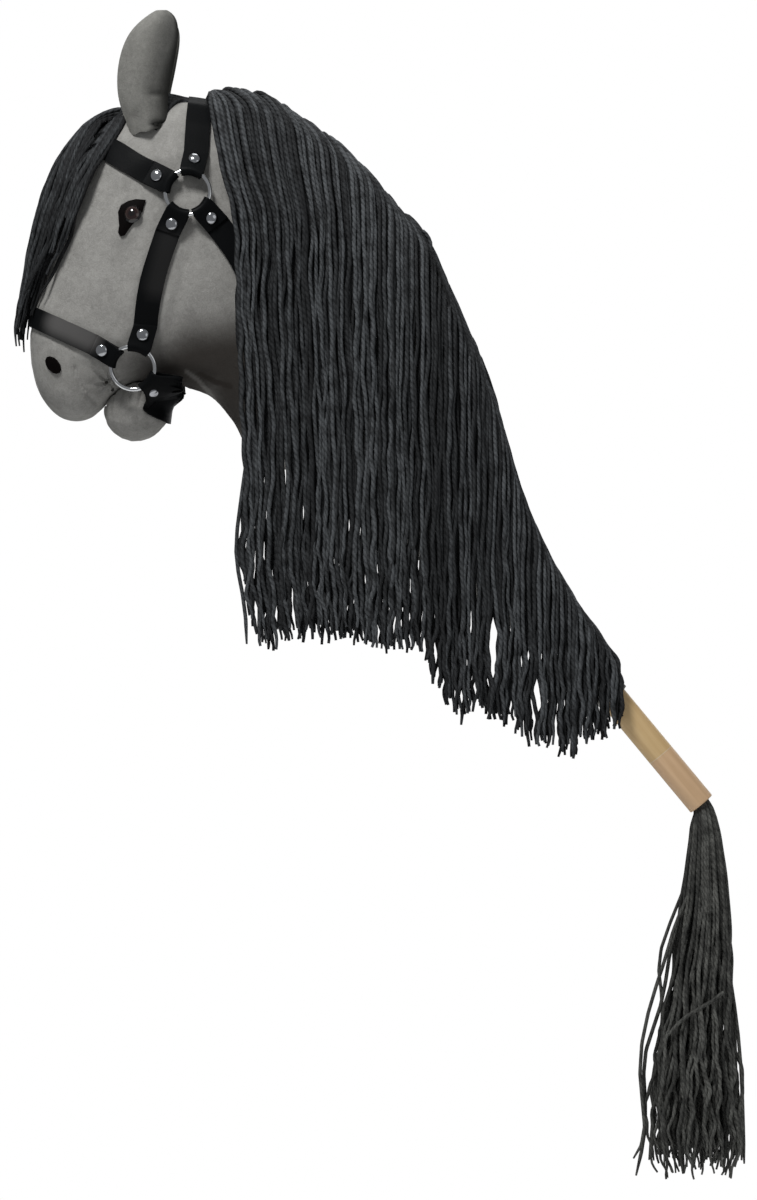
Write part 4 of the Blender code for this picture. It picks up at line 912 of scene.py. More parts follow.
def turned(name, profile, start, axis, material, count=48, closed=False):
    axis, first, second = frame_on(axis)
    work = bmesh.new()
    rings = []
    for distance, radius in profile:
        centre = Vector(start) + axis * distance
        turns = [2 * math.pi * k / count for k in range(count)] if radius > 1e-9 else [0.0]
        rings.append([work.verts.new(centre + (first * math.cos(a) + second * math.sin(a)) * radius)
                      for a in turns])
    following = rings[1:] + rings[:1] if closed else rings[1:]
    for one, two in zip(rings, following):
        for k in range(count):
            corners = [one[k % len(one)], one[(k + 1) % len(one)], two[(k + 1) % len(two)], two[k % len(two)]]
            corners = list(dict.fromkeys(corners))
            if len(corners) > 2:
                work.faces.new(corners)
    bmesh.ops.recalc_face_normals(work, faces=work.faces)
    thing = piece(name, finished_mesh(name, work), material)
    thing.data.set_sharp_from_angle(angle=SHARP)
    return thing


def axis_of(name):
    """A round CAD piece's centre and axis, which is the direction that differs from the other two, and how
    far the piece reaches back and forward along it."""
    points = points_of(merged_copy("measured", name))
    middle = points.mean(0)
    values, directions = np.linalg.eigh(np.cov((points - middle).T))
    axis = directions[:, 0 if abs(values[1] - values[0]) > abs(values[2] - values[1]) else 2]
    if axis[1] * middle[1] < 0:
        axis = -axis
    reach = (points - middle) @ axis
    return Vector(middle), Vector(axis), float(reach.min()), float(reach.max())


print("turning ready")

# %% [markdown]
# ## Eyes
# Each eye is a slice of a ball on a short straight edge. The slice is as high and stands as the CAD eye
# does, and its points carry how far they are from the middle, which the eye's finish reads.

# %% Eyes
EYE_RADIUS = 0.0090
EYE_STEPS = 14
EYE_EDGE = (0.97, 0.0002)           # the foot's share of the radius, and the straight edge's height


def eye(side):
    middle, axis, back, front = axis_of(f"eye_{side}")
    height = front - back
    ball = (EYE_RADIUS ** 2 + height ** 2) / (2 * height)
    span = math.asin(min(1.0, EYE_RADIUS / ball))
    profile = [(0.0, 0.0), (0.0, EYE_RADIUS * EYE_EDGE[0])]
    for k in range(EYE_STEPS + 1):
        angle = span * (1 - k / EYE_STEPS)
        lifted = 0.0 if k else EYE_EDGE[1]
        profile.append((height - ball + ball * math.cos(angle) + lifted, ball * math.sin(angle)))
    base = middle + axis * back
    thing = turned(f"eye_{side}_dome", profile, base, axis, eye_finish)
    spokes = [(v.co - base) - axis * (v.co - base).dot(axis) for v in thing.data.vertices]
    mark(thing.data, "spot", [spoke.length / EYE_RADIUS for spoke in spokes])
    return on_head(thing, f"eye_{side}")


print("eyes", [len(eye(side).data.polygons) for side in SIDES])

# %% [markdown]
# ## Rings
# The four halter rings are round wire, welded and plated. Each turns on its own body, about the axis and
# the centre that its joint in the record gives.

# %% Rings
RING_RADIUS = 0.02225
WIRE_RADIUS = 0.00225
WIRE_SIDES = 20
WIRE = [(WIRE_RADIUS * math.sin(b), RING_RADIUS + WIRE_RADIUS * math.cos(b))
        for b in (2 * math.pi * j / WIRE_SIDES for j in range(WIRE_SIDES))]

for level in ("upper", "lower"):
    for side in SIDES:
        name = f"{level}_ring_{side}"
        joint = joints[f"ring_{level}_{side}_spin"]
        thing = turned(f"{name}_wire", WIRE, joint["pos_m"], joint["axis"], ring_chrome, 96, closed=True)
        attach(thing, joint["child"])
        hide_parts(name)
        print(name, len(thing.data.polygons), "faces")

# %% [markdown]
# ## The stick
# Two lengths of dowel meet end to end on a hidden pin. A pale line of glue shows at the joint. The lower
# end has its edge broken, and a bore that the tail's root is glued into.

# %% Stick
STICK_RADIUS = 0.014
ABOVE_JOINT = 0.615
BELOW_JOINT = 0.0645
EDGE = 0.0010
BORE_RADIUS = 0.0085
BORE_DEPTH = 0.022
GLUE_HALF = 0.00035
GLUE_RADIUS = STICK_RADIUS + 0.00008
STICK_SIDES = 64


def ease_edge(distance, turn):
    """Profile points of a rounded edge; turn is 1 at a start and -1 at an end."""
    return [(distance - turn * EDGE * (math.cos(a) - 1), STICK_RADIUS - EDGE * (1 - math.sin(a)))
            for a in (math.pi / 8 * k for k in range(5))][::turn]


def on_stick(name, start, profile, material):
    return turned(name, profile, DOWN_STICK * start, DOWN_STICK, material, STICK_SIDES)


upper = on_stick("stick_upper_dowel", -ABOVE_JOINT, [
    (0.0, 0.0), *ease_edge(0.0, 1), (ABOVE_JOINT - GLUE_HALF, STICK_RADIUS), (ABOVE_JOINT - GLUE_HALF, 0.0),
], upper_wood)
lower = on_stick("stick_lower_dowel", 0.0, [
    (GLUE_HALF, 0.0), (GLUE_HALF, STICK_RADIUS), *ease_edge(BELOW_JOINT, -1), (BELOW_JOINT, BORE_RADIUS),
    (BELOW_JOINT - BORE_DEPTH, BORE_RADIUS), (BELOW_JOINT - BORE_DEPTH, 0.0),
], lower_wood)
glue = on_stick("glue_line", 0.0, [
    (-GLUE_HALF, 0.0), (-GLUE_HALF, GLUE_RADIUS), (GLUE_HALF, GLUE_RADIUS), (GLUE_HALF, 0.0),
], glue_pale)
for thing, source in ((upper, "stick_upper"), (lower, "stick_lower")):
    on_head(thing, source)
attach(glue, "head_and_stick")
print("stick", round((ABOVE_JOINT + BELOW_JOINT) / MM, 1), "mm long")

# %% [markdown]
# ## Growing pieces from trees
# Rivets, thread knots and yarn are many small copies of one form, so they grow from Geometry Nodes trees
# with named inputs. These helpers start a tree, run it on a piece, and end it: the copies are made real,
# shaded smooth, and given their finish.

# %% Tree helpers
def geometry_tree(name, inputs):
    tree = bpy.data.node_groups.new(name, "GeometryNodeTree")
    tree.interface.new_socket("Geometry", in_out="INPUT", socket_type="NodeSocketGeometry")
    for label, kind, value in inputs:
        socket = tree.interface.new_socket(label, in_out="INPUT", socket_type=kind)
        if value is not None:
            socket.default_value = value
    tree.interface.new_socket("Geometry", in_out="OUTPUT", socket_type="NodeSocketGeometry")
    return tree, tree.nodes.new("NodeGroupInput").outputs, tree.nodes.new("NodeGroupOutput").inputs


def grown(thing, tree, values):
    """Runs a tree on a piece with the given inputs, and keeps the result as a plain mesh."""
    modifier = thing.modifiers.new(tree.name, "NODES")
    modifier.node_group = tree
    for item in tree.interface.items_tree:
        if item.item_type == "SOCKET" and item.in_out == "INPUT" and item.name in values:
            modifier[item.identifier] = values[item.name]
    return baked(thing)


def close_tree(tree, out, geometry, material):
    """Every tree ends the same way: real geometry, and its material."""
    real = add(tree, "GeometryNodeRealizeInstances", {0: geometry}).outputs[0]
    smooth = add(tree, "GeometryNodeSetShadeSmooth", {0: real}).outputs[0]
    made = add(tree, "GeometryNodeSetMaterial", {0: smooth, "Material": material}).outputs[0]
    tree.links.new(made, out[0])


print("tree helpers ready")

# %% [markdown]
# ## Domes
# One tree sets a low dome on each of a set of points, and each point carries the direction its dome
# faces. The dome is a sphere made flat, with an almost flat back.

# %% Dome tree
RIVET_SIZES = (0.00625, 0.0030, 0.0005)         # radius, height and back of a dome


def dome_tree():
    tree, given, out = geometry_tree("Domes", [
        ("Radius", VALUE, RIVET_SIZES[0]), ("Height", VALUE, RIVET_SIZES[1]), ("Back", VALUE, RIVET_SIZES[2]),
        ("Finish", "NodeSocketMaterial", None),
    ])
    ball = add(tree, "GeometryNodeMeshUVSphere", {"Segments": 32, "Rings": 16, "Radius": 1.0})
    place = add(tree, "GeometryNodeInputPosition").outputs[0]
    x, y, z = add(tree, "ShaderNodeSeparateXYZ", {0: place}).outputs
    front = times(tree, calc(tree, "MAXIMUM", z, 0.0), given["Height"])
    back = times(tree, calc(tree, "MINIMUM", z, 0.0), given["Back"])
    wide = [times(tree, value, given["Radius"]) for value in (x, y)]
    flat = add(tree, "ShaderNodeCombineXYZ", {0: wide[0], 1: wide[1], 2: calc(tree, "ADD", front, back)})
    dome = add(tree, "GeometryNodeSetPosition", {0: ball.outputs["Mesh"], "Position": flat.outputs[0]})
    facing = add(tree, "GeometryNodeInputNamedAttribute", {"Name": "facing"}, data_type="FLOAT_VECTOR")
    turn = add(tree, "FunctionNodeAlignRotationToVector", {"Vector": facing.outputs[0]}, axis="Z")
    dots = add(tree, "GeometryNodeMeshToPoints", {0: given[0]})
    many = add(tree, "GeometryNodeInstanceOnPoints", {
        "Points": dots.outputs[0], "Instance": dome.outputs[0], "Rotation": turn.outputs[0],
    })
    close_tree(tree, out, many.outputs[0], given["Finish"])
    return tree


domes = dome_tree()


def dome_piece(name, seats, facings, sizes, material):
    """A low dome on each seat, facing its own way."""
    mesh = bpy.data.meshes.new(name)
    mesh.from_pydata(seats, [], [])
    facing = mesh.attributes.new("facing", "FLOAT_VECTOR", "POINT")
    facing.data.foreach_set("vector", np.array(facings).ravel())
    radius, height, back = sizes
    return grown(piece(name, mesh, material, smooth=False), domes,
                 {"Radius": radius, "Height": height, "Back": back, "Finish": material})


print("tree", domes.name)

# %% [markdown]
# ## Rivets
# Fourteen capped rivets hold the straps round the rings. They are all alike. Each CAD rivet gives a
# centre and an axis, and the dome is seated so that its top is as high as the CAD rivet's.

# %% Rivets
RIVETS = [name for name in sorted(nodes) if name.startswith("rivet_")]
placed = [axis_of(name) for name in RIVETS]
seats = [middle + axis * (front - RIVET_SIZES[1]) for middle, axis, _, front in placed]
rivets = dome_piece("halter_rivets", seats, [axis for _, axis, _, _ in placed], RIVET_SIZES, rivet_chrome)
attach(rivets, "head_and_stick")
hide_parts(*RIVETS)
print("rivets", len(RIVETS), "with", len(rivets.data.polygons), "faces")

# %% [markdown]
# ## Knots at the mouth
# The gathers at the mouth's corners are held by a few knots of dark thread. They are the same low domes
# on points, so they grow from the same tree.

# %% Knots
KNOTS = ((-0.557, 0.3735), (-0.5505, 0.3785), (-0.5445, 0.3725), (-0.5515, 0.3665))     # X and Z
KNOT_SIZES = (0.0019, 0.0019, 0.0006)
KNOT_SUNK = 0.0010


def from_side(surface, x, z, out):
    """Where a look from the side, out being -1 or 1, meets the surface, and the normal there."""
    return surface.ray_cast(Vector((x, out, z)), Vector((0, -out, 0)))[:2]


skin = surface_of(*SKIN)
spots = [from_side(skin, x, z, out) for x, z in KNOTS for out in (-1, 1)]
knots = dome_piece("mouth_knots", [spot - normal * KNOT_SUNK for spot, normal in spots],
                   [normal for _, normal in spots], KNOT_SIZES, thread_dark)
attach(knots, "head_and_stick")
print("knots", len(spots))

# %% [markdown]
# ## Strands of yarn
# A strand is a line of points with a radius and a tone of its own. The tree turns the lines to curves,
# sweeps a small circle along them, and leaves the ply attribute that the yarn finish reads. One tree
# makes the mane, the forelock, the poll's yarn and the tail.

# %% Strand tree
STRAND_RADIUS = 0.0023
STRAND_SIDES = 6
STRAND_STEP = 0.0048                # between the points of a strand


def captured(tree, geometry, kind, name, value):
    """Keeps a value on the points of a curve; gives the curve and the kept value."""
    kept = add(tree, "GeometryNodeCaptureAttribute", domain="POINT")
    kept.capture_items.new(kind, name)
    plug(tree, kept.inputs[0], geometry)
    plug(tree, kept.inputs[1], value)
    return kept.outputs


def strand_tree():
    tree, given, out = geometry_tree("Yarn strands", [
        ("Thickness", VALUE, STRAND_RADIUS), ("Sides", "NodeSocketInt", STRAND_SIDES),
        ("Finish", "NodeSocketMaterial", None),
    ])
    curves = add(tree, "GeometryNodeMeshToCurve", {0: given[0]}).outputs[0]
    spline = add(tree, "GeometryNodeSplineParameter").outputs
    rail = captured(tree, curves, "FLOAT", "Length", spline["Length"])
    circle = add(tree, "GeometryNodeCurvePrimitiveCircle", {
        "Resolution": given["Sides"], "Radius": given["Thickness"],
    })
    angle = times(tree, spline["Factor"], 2 * math.pi)
    spoke = add(tree, "ShaderNodeCombineXYZ", {0: calc(tree, "COSINE", angle), 1: calc(tree, "SINE", angle)})
    ring = captured(tree, circle.outputs["Curve"], "VECTOR", "Spoke", spoke.outputs[0])
    width = add(tree, "GeometryNodeInputNamedAttribute", {"Name": "width"}, data_type="FLOAT")
    tube = add(tree, "GeometryNodeCurveToMesh", {
        "Curve": rail[0], "Profile Curve": ring[0], "Scale": width.outputs[0], "Fill Caps": True,
    })
    x, y, _ = add(tree, "ShaderNodeSeparateXYZ", {0: ring[1]}).outputs
    ply = add(tree, "ShaderNodeCombineXYZ", {0: x, 1: y, 2: rail[1]}).outputs[0]
    marked = add(tree, "GeometryNodeStoreNamedAttribute",
                 {"Geometry": tube.outputs[0], "Name": "ply", "Value": ply},
                 data_type="FLOAT_VECTOR", domain="POINT")
    close_tree(tree, out, marked.outputs[0], given["Finish"])
    return tree


strands = strand_tree()
print("tree", strands.name)

# %% [markdown]
# ## From lines to strands
# A strand's line is first found roughly, then given even points, since uneven ones would kink the tube.
# Slow random waves bend it, and its cut end is thinner, where the two threads have come untwisted. All
# the lines of a piece go into one mesh, and the tree runs on it once.

# %% Strand helpers
def strand_piece(name, lines, material):
    """A piece of many strands: each line is (points, widths, tone)."""
    counts = [len(points) for points, _, _ in lines]
    starts = np.cumsum([0] + counts[:-1])
    edges = [(start + k, start + k + 1) for start, count in zip(starts, counts) for k in range(count - 1)]
    mesh = bpy.data.meshes.new(name)
    mesh.from_pydata(np.concatenate([points for points, _, _ in lines]).tolist(), edges, [])
    mark(mesh, "width", np.concatenate([widths for _, widths, _ in lines]))
    mark(mesh, "tone", np.repeat([tone for _, _, tone in lines], counts))
    thing = piece(name, mesh, material, smooth=False)
    grown(thing, strands, {"Thickness": STRAND_RADIUS, "Sides": STRAND_SIDES, "Finish": material})
    if "width" in thing.data.attributes:
        thing.data.attributes.remove(thing.data.attributes["width"])
    print(name, len(lines), "strands,", len(thing.data.polygons), "faces")
    return thing


def even_line(points):
    """The same line with evenly spaced points, rounded by a running mean, and how far along each is."""
    points = np.asarray(points, float)
    for _ in range(2):
        inner = (points[:-2] + 2 * points[1:-1] + points[2:]) / 4
        points = np.concatenate([points[:1], inner, points[-1:]])
    gaps = np.linalg.norm(np.diff(points, axis=0), axis=1)
    reach = np.concatenate([[0.0], np.cumsum(gaps)])
    at = np.linspace(0.0, reach[-1], max(4, int(reach[-1] / STRAND_STEP) + 1))
    return np.stack([np.interp(at, reach, points[:, k]) for k in range(3)], axis=1), at


def sway(points, chance, at, share, directions, *waves):
    """Slow random waves along a strand, as much as the share says: each wave is (height, wavelength)."""
    moved = np.zeros((len(at), 3))
    for direction in directions:
        for height, wave in waves:
            phase = chance.uniform(0, 2 * math.pi)
            stretch = chance.uniform(0.75, 1.35)
            high = height * chance.uniform(0.4, 1.0)
            moved += np.outer(high * np.sin(2 * math.pi * at / (wave * stretch) + phase), direction)
    points += moved * share[:, None]


def tapered(at, tip_length, tip_width, width):
    """Full width, thinner over the last stretch where the cut end has come untwisted."""
    left = at[-1] - at
    return width * (tip_width + (1 - tip_width) * np.clip(left / tip_length, 0.0, 1.0))


def looked_up(table, height, column=1):
    """A number from a table whose first column is the height, which rises."""
    return np.interp(height, table[:, 0], table[:, column])


print("strand helpers ready")

# %% [markdown]
# ## The mane
# The mane is yarn sewn over the crest in six locks. Each strand starts behind the crest, comes over it
# along the slope, then hangs straight down on the near side. Rays find the CAD lock's surface under each
# point, so the strands lie on it in three layers. The deeper layers have a lower tone, a painted shade,
# so the gaps between the upper ones look black.

# %% Where the mane lies
LOCKS = [f"mane_lock_{k}" for k in range(1, 7)]
LOCK_ENDS = np.array([-455, -392, -328, -262, -192, -113, -36]) * MM
FRONT_EDGE = np.array([(118, -417), (199, -424), (286, -420), (356, -423), (456, -429), (516, -428),
                       (546, -431), (576, -441), (606, -448), (656, -457)]) * MM       # Z, X
FRONT_FADE = 0.21                   # how far behind the front edge its lean is felt
DOWNWARDS = Vector((0, 0, -1))
INWARDS = Vector((0, 1, 0))
PARTINGS = (0.0, 0.0013, -0.0013, 0.0028, -0.0028)     # looks beside a ray that falls between two locks
mane_surface = surface_of(*LOCKS)


def look(x, y, z, direction):
    """Where a ray meets the mane's surface, or None."""
    for aside in PARTINGS:
        hit = mane_surface.ray_cast(Vector((x + aside, y, z)), direction)[0]
        if hit is not None:
            return hit
    return None


def drift(x, z):
    """How far a strand has moved back at a height: the front edge leans back, the rest hardly."""
    share = 1.0 - float(steps(LOCK_ENDS[0], LOCK_ENDS[0] + FRONT_FADE, x))
    return share * (looked_up(FRONT_EDGE, z) - FRONT_EDGE[-1, 1])


print("mane from", LOCK_ENDS[0], "to", LOCK_ENDS[-1])

# %% [markdown]
# ## One line of the mane
# A strand's line is found in three parts: over the crest, down the near side, and the free tip below the
# hem. Each part goes on from where the last one ended, so the strand bends and never kinks.

# %% Mane lines
BEHIND_CREST = ((-0.004, 0.0065, 0.0085), (-0.002, 0.0035, 0.0030))     # x, y and how far below the crest
FROM_FRONT = 0.030                  # how far in front of its hanging part a strand is sewn on
CREST_STEPS = 6
CREST_BEND = 0.62                   # share of the mane's half width at which a strand starts to hang
HALF_WIDTH = -0.03                  # the near side's Y, where a look finds nothing
LOWEST = -0.05                      # no look for the hem goes below this height
FALL_STEP, TIP_STEP = 0.007, 0.005
SETTLE = 0.55                       # how fast a strand follows the surface


def mane_line(chance, x, inset, drop):
    x = float(np.clip(x, LOCK_ENDS[0] + 0.0015, LOCK_ENDS[-1] - 0.0015))
    start = max(x - FROM_FRONT * chance.uniform(0.6, 1.2), LOCK_ENDS[0] + 0.001)
    top = look(start, -0.001, 1.0, DOWNWARDS).z
    near = look(x, -1.0, top - 0.050, INWARDS)
    half = HALF_WIDTH if near is None else near.y
    bump = 0.0016 * noise.noise(Vector((start * 60.0, 0.0, 0.0))) + chance.uniform(-0.0004, 0.0010)
    line = [(start + back, y, top - below - inset) for back, y, below in BEHIND_CREST]
    line.append((start, 0.0, top - inset + bump))
    for share in (k / CREST_STEPS for k in range(1, CREST_STEPS + 1)):
        y = half * CREST_BEND * share
        here = start + (x - start) * share ** 1.15
        found = look(here, y, 1.0, DOWNWARDS)
        if found is None:
            break
        line.append((here, y, found.z - inset + bump * (1 - share)))
    _, y, z = line[-1]
    z -= 0.006
    while z > LOWEST:
        here = x + drift(x, z)
        found = look(here, -1.0, z, INWARDS)
        if found is None:
            break
        y += (found.y + inset - y) * SETTLE
        line.append((here, y, z))
        z -= FALL_STEP
    end = z + drop
    while z > end:
        line.append((x + drift(x, z), y, z))
        z -= TIP_STEP
    return [point for point in line if point[2] > end or point[1] > -0.001]


print("mane lines ready")

# %% [markdown]
# ## The mane's strands
# Yarn that hangs free sticks together in clumps. The strands of a clump draw in towards its middle over
# the last stretch, end at about the same height, and leave the ragged hem with gaps between. Two deeper
# slits part the hem. The generator has a fixed start, so the mane is the same each time.

# %% Mane strands
LAYERS = ((0.0024, 0.0049, 1.05), (0.0058, 0.0042, 0.45), (0.0094, 0.0040, 0.25))     # depth, spacing, tone; the lower tone of deeper layers is a painted shade
CLUMP_WIDTHS = (0.010, 0.026)
SLITS = ((-0.1695, 0.112, 0.024, 0.0052), (-0.1255, 0.056, 0.018, 0.0046))     # x, z, half height, half width
SLIT_REACH = 0.016                  # along the mane


def mane_clumps(chance):
    """The clumps' middles, how far each ends below the CAD hem, and how much it draws in."""
    middles = [LOCK_ENDS[0]]
    while middles[-1] < LOCK_ENDS[-1]:
        middles.append(middles[-1] + chance.uniform(*CLUMP_WIDTHS))
    count = len(middles)
    return np.array(middles), chance.uniform(-0.009, 0.004, count), chance.uniform(0.02, 0.34, count)


def mane_strand(chance, x, inset, tone, clumps):
    middles, drops, pulls = clumps
    clump = int(np.argmin(np.abs(middles - x)))
    inset += chance.uniform(-0.0011, 0.0011)
    points, at = even_line(mane_line(chance, x, inset, drops[clump] + chance.uniform(-0.005, 0.009)))
    left = at[-1] - at
    points[:, 0] += (middles[clump] - x) * pulls[clump] * (1 - steps(0.0, 0.09, left))
    sway(points, chance, at, steps(0.03, 0.25, at), [(1, 0, 0), (0, 0.5, 0)], (0.0022, 0.16), (0.0010, 0.055))
    sway(points, chance, at, 1 - steps(0.02, 0.17, left), [(1, 0, 0), (0, 0.6, 0)],
         (0.0017, 0.050), (0.0008, 0.022))
    for middle, height, half, aside in SLITS:
        reach = bell(points[:, 2] - height, half) * math.exp(-abs(x - middle) / SLIT_REACH)
        points[:, 0] += math.copysign(1.0, x - middle) * aside * reach
    width = chance.uniform(0.78, 1.08) * (1 + 0.07 * np.sin(at / 0.004 + chance.uniform(0, 6)))
    return points, tapered(at, 0.022, 0.6, 1.0) * width, (0.16 + 1.1 * chance.uniform() ** 1.25) * tone


def mane_strands():
    chance = np.random.default_rng(7)
    clumps = mane_clumps(chance)
    locks = {name: [] for name in LOCKS}
    for inset, spacing, tone in LAYERS:
        for k in range(int((LOCK_ENDS[-1] - LOCK_ENDS[0]) / spacing)):
            x = LOCK_ENDS[0] + (k + 0.5 + chance.uniform(-0.36, 0.36)) * spacing
            number = int(np.clip(np.searchsorted(LOCK_ENDS, x), 1, len(LOCKS)))
            locks[LOCKS[number - 1]].append(mane_strand(chance, x, inset, tone, clumps))
    return locks


mane = mane_strands()
print("mane", sum(len(lines) for lines in mane.values()), "strands")

# %% [markdown]
# ## Strays, and the mane's pieces
# A few strands have left the rest, and their paths are given one by one. Then each lock becomes a piece.
# It is stitched down behind the crest and free in front of it.

# %% Mane locks
STRAY_TONE = 0.8
MANE_STRAYS = {
    "mane_lock_1": [
        [(-412, -58, 330), (-416, -62, 290), (-423, -64, 250), (-426, -66, 225), (-429, -66, 203),
         (-426, -65, 184), (-419, -64, 164), (-415, -64, 140), (-416, -63, 112)],
        [(-408, -57, 300), (-417, -62, 262), (-424, -63, 238), (-421, -63, 215), (-416, -62, 190),
         (-412, -60, 160)]],
    "mane_lock_4": [
        [(-240, -8, 528), (-233.5, -8, 526), (-229.5, -9, 517), (-230.5, -11, 503), (-234, -14, 492)]],
}


def stray_strand(path, tone):
    points, at = even_line(np.array(path) * MM)
    return points, tapered(at, 0.02, 0.5, 0.85), tone


for name, lines in mane.items():
    lines += [stray_strand(path, STRAY_TONE) for path in MANE_STRAYS.get(name, ())]
    thing = strand_piece(f"{name}_strands", lines, mane_yarn)
    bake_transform(thing)
    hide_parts(name)

# %% [markdown]
# ## The forelock
# The forelock falls from the poll over the forehead. Its strands spread over the brow, close in again
# down the nose, and end in thin tips. Each keeps its own share of the width, and a ray from the front
# finds how far forward the CAD form stands there.

# %% Forelock strands
FORELOCK_WIDTH = np.array([(412, 19), (432, 24), (458, 28), (484, 34), (508, 42), (540, 45), (572, 47),
                           (598, 40), (622, 28), (640, 15)]) * MM
FORELOCK_FULLER = np.array([(412, 3), (440, 0), (470, 0), (500, 3), (545, 5), (575, 7), (605, 7), (632, 2),
                            (645, 0)]) * MM     # how far the yarn stands out beyond the CAD form
FORELOCK_LAYERS = ((0.0022, 40, 1.0), (0.0060, 38, 0.5), (0.0098, 32, 0.3),
                   (0.0128, 26, 0.25))          # depth, count, tone; the lower tone of deeper layers is a painted shade
FORELOCK_ROOT = ((-0.533, 0.008, 0.6500), (-0.541, 0.009, 0.6530), (-0.549, 0.011, 0.6535),
                 (-0.556, 0.013, 0.6500))       # x, half width, z
FORELOCK_TOP, FORELOCK_TIP = 0.640, 0.412
FORELOCK_STEP = 0.006
FORELOCK_FRONT = -0.57              # X, where a look finds nothing
BACKWARDS = Vector((1, 0, 0))
forelock_surface = surface_of("forelock")


def forelock_line(chance, share, inset):
    line = [(x, share * half, z - inset) for x, half, z in FORELOCK_ROOT]
    end = FORELOCK_TIP + chance.uniform(-0.012, 0.055) + 0.03 * abs(share)
    z = FORELOCK_TOP
    front = None
    while z > end:
        y = share * (looked_up(FORELOCK_WIDTH, z) - 0.002)
        hit = forelock_surface.ray_cast(Vector((-1.0, y, z)), BACKWARDS)[0]
        if front is None:
            front = FORELOCK_FRONT if hit is None else hit.x
        elif hit is not None:
            front += (hit.x - front) * 0.6
        line.append((front + inset - looked_up(FORELOCK_FULLER, z) * (1 - 0.6 * share ** 2), y, z))
        z -= FORELOCK_STEP
    return line


def forelock_strands(chance):
    for inset, count, tone in FORELOCK_LAYERS:
        for k in range(count):
            share = -1 + 2 * (k + 0.5 + chance.uniform(-0.4, 0.4)) / count
            share = float(np.clip(share, -0.99, 0.99))
            points, at = even_line(forelock_line(chance, share, inset + chance.uniform(-0.001, 0.001)))
            sway(points, chance, at, steps(0.02, 0.12, at), [(0.6, 0, 0), (0, 1, 0)],
                 (0.0026, 0.14), (0.0012, 0.05))
            widths = tapered(at, 0.06, 0.45, chance.uniform(0.72, 0.98))
            yield points, widths, (0.10 + 0.85 * chance.uniform() ** 1.8) * tone


print("forelock layers", len(FORELOCK_LAYERS))

# %% [markdown]
# ## Strands along the brow
# More strands of the forelock lie on the felt in front of each ear, side by side along the brow's edge.
# Looks from the side find the felt or the browband under each point. Some strands stop early.

# %% Brow strands
BROW_SIDE = 17                      # strands each side that lie on the felt in front of the ear
BROW_STEP = 0.0017
BROW_EDGE = ((-0.537, 0.642), (-0.540, 0.634), (-0.547, 0.619), (-0.562, 0.602), (-0.570, 0.586),
             (-0.575, 0.571), (-0.581, 0.558), (-0.588, 0.538), (-0.593, 0.520), (-0.600, 0.503),
             (-0.612, 0.482), (-0.622, 0.463))
brow_surface = surface_of(*SKIN, "browband", "forelock")


def brow_strands(chance):
    for k in range(BROW_SIDE):
        for out in (-1, 1):
            line = []
            last = chance.integers(len(BROW_EDGE) - 4, len(BROW_EDGE) + 1)
            for x, z in BROW_EDGE[:last]:
                x -= BROW_STEP * k + chance.uniform(-0.0003, 0.0003)
                hit = from_side(brow_surface, x, z, out)[0]
                if hit is not None:
                    line.append((x, hit.y + out * 0.0010, z))
            points, at = even_line(line)
            sway(points, chance, at, steps(0.02, 0.08, at), [(1, 0, 0)], (0.0020, 0.12), (0.0010, 0.05))
            yield points, tapered(at, 0.03, 0.5, 0.85), 0.06 + 0.60 * chance.uniform() ** 1.5


chance = np.random.default_rng(11)
forelock = strand_piece("forelock_strands", [*forelock_strands(chance), *brow_strands(chance)], mane_yarn)
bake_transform(forelock)
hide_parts("forelock")

# %% [markdown]
# ## Yarn over the poll
# The forelock's roots run back over the poll between the ears, under the crown strap, to where the mane
# starts. They are sewn down, so they stay with the head. From there a fan of strands spreads down behind
# the near ear's root.

# %% Poll yarn
POLL_FROM, POLL_TO = -0.558, -0.474
POLL_COUNT, POLL_STEP = 22, 0.006
POLL_HALF = 0.017
FAN_COUNT, FAN_POINTS = 12, 8


def on_poll(x, y):
    return skin.ray_cast(Vector((x, y, 1.0)), DOWNWARDS)[0].z


def poll_strands(chance):
    for k in range(POLL_COUNT):
        side = (-1 + 2 * (k + 0.5) / POLL_COUNT) * POLL_HALF
        line = []
        for x in np.arange(POLL_FROM, POLL_TO, POLL_STEP):
            arch = math.sin(math.pi * (x - POLL_FROM) / (POLL_TO - POLL_FROM))
            y = side * (0.7 + 0.3 * arch)
            line.append((x, y + 0.002 * math.sin(x * 90 + k),
                         on_poll(x, y) - 0.0008 + arch * (0.0026 + 0.0013 * (k % 3))))
        points, at = even_line(line)
        yield points, np.full(len(at), chance.uniform(0.7, 0.9)), chance.uniform(0.2, 0.8)


def fan_strands(chance):
    for spread in ((k + 1) / FAN_COUNT for k in range(FAN_COUNT)):
        line = []
        for share in np.linspace(0.0, 1.0, FAN_POINTS):
            x = -0.476 - 0.032 * share
            y = -0.004 - (0.010 + 0.024 * spread) * share
            line.append((x, y, on_poll(x, y) + 0.0002 + 0.0022 * math.sin(math.pi * min(1.0, share * 1.6))))
        points, at = even_line(line)
        yield points, np.full(len(at), 0.85), chance.uniform(0.1, 0.4)


chance = np.random.default_rng(31)
poll = strand_piece("poll_yarn", [*poll_strands(chance), *fan_strands(chance)], mane_yarn)
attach(poll, "head_and_stick")

# %% [markdown]
# ## The tail
# The tail is a bundle of yarn glued into the stick's bore. It comes out along the stick, spreads at once
# and bends down. Every strand keeps its own place in the bundle's section, some bow out on their own, and
# one lies across the rest. On the toy the first stretch stays with the stick and the rest swings.

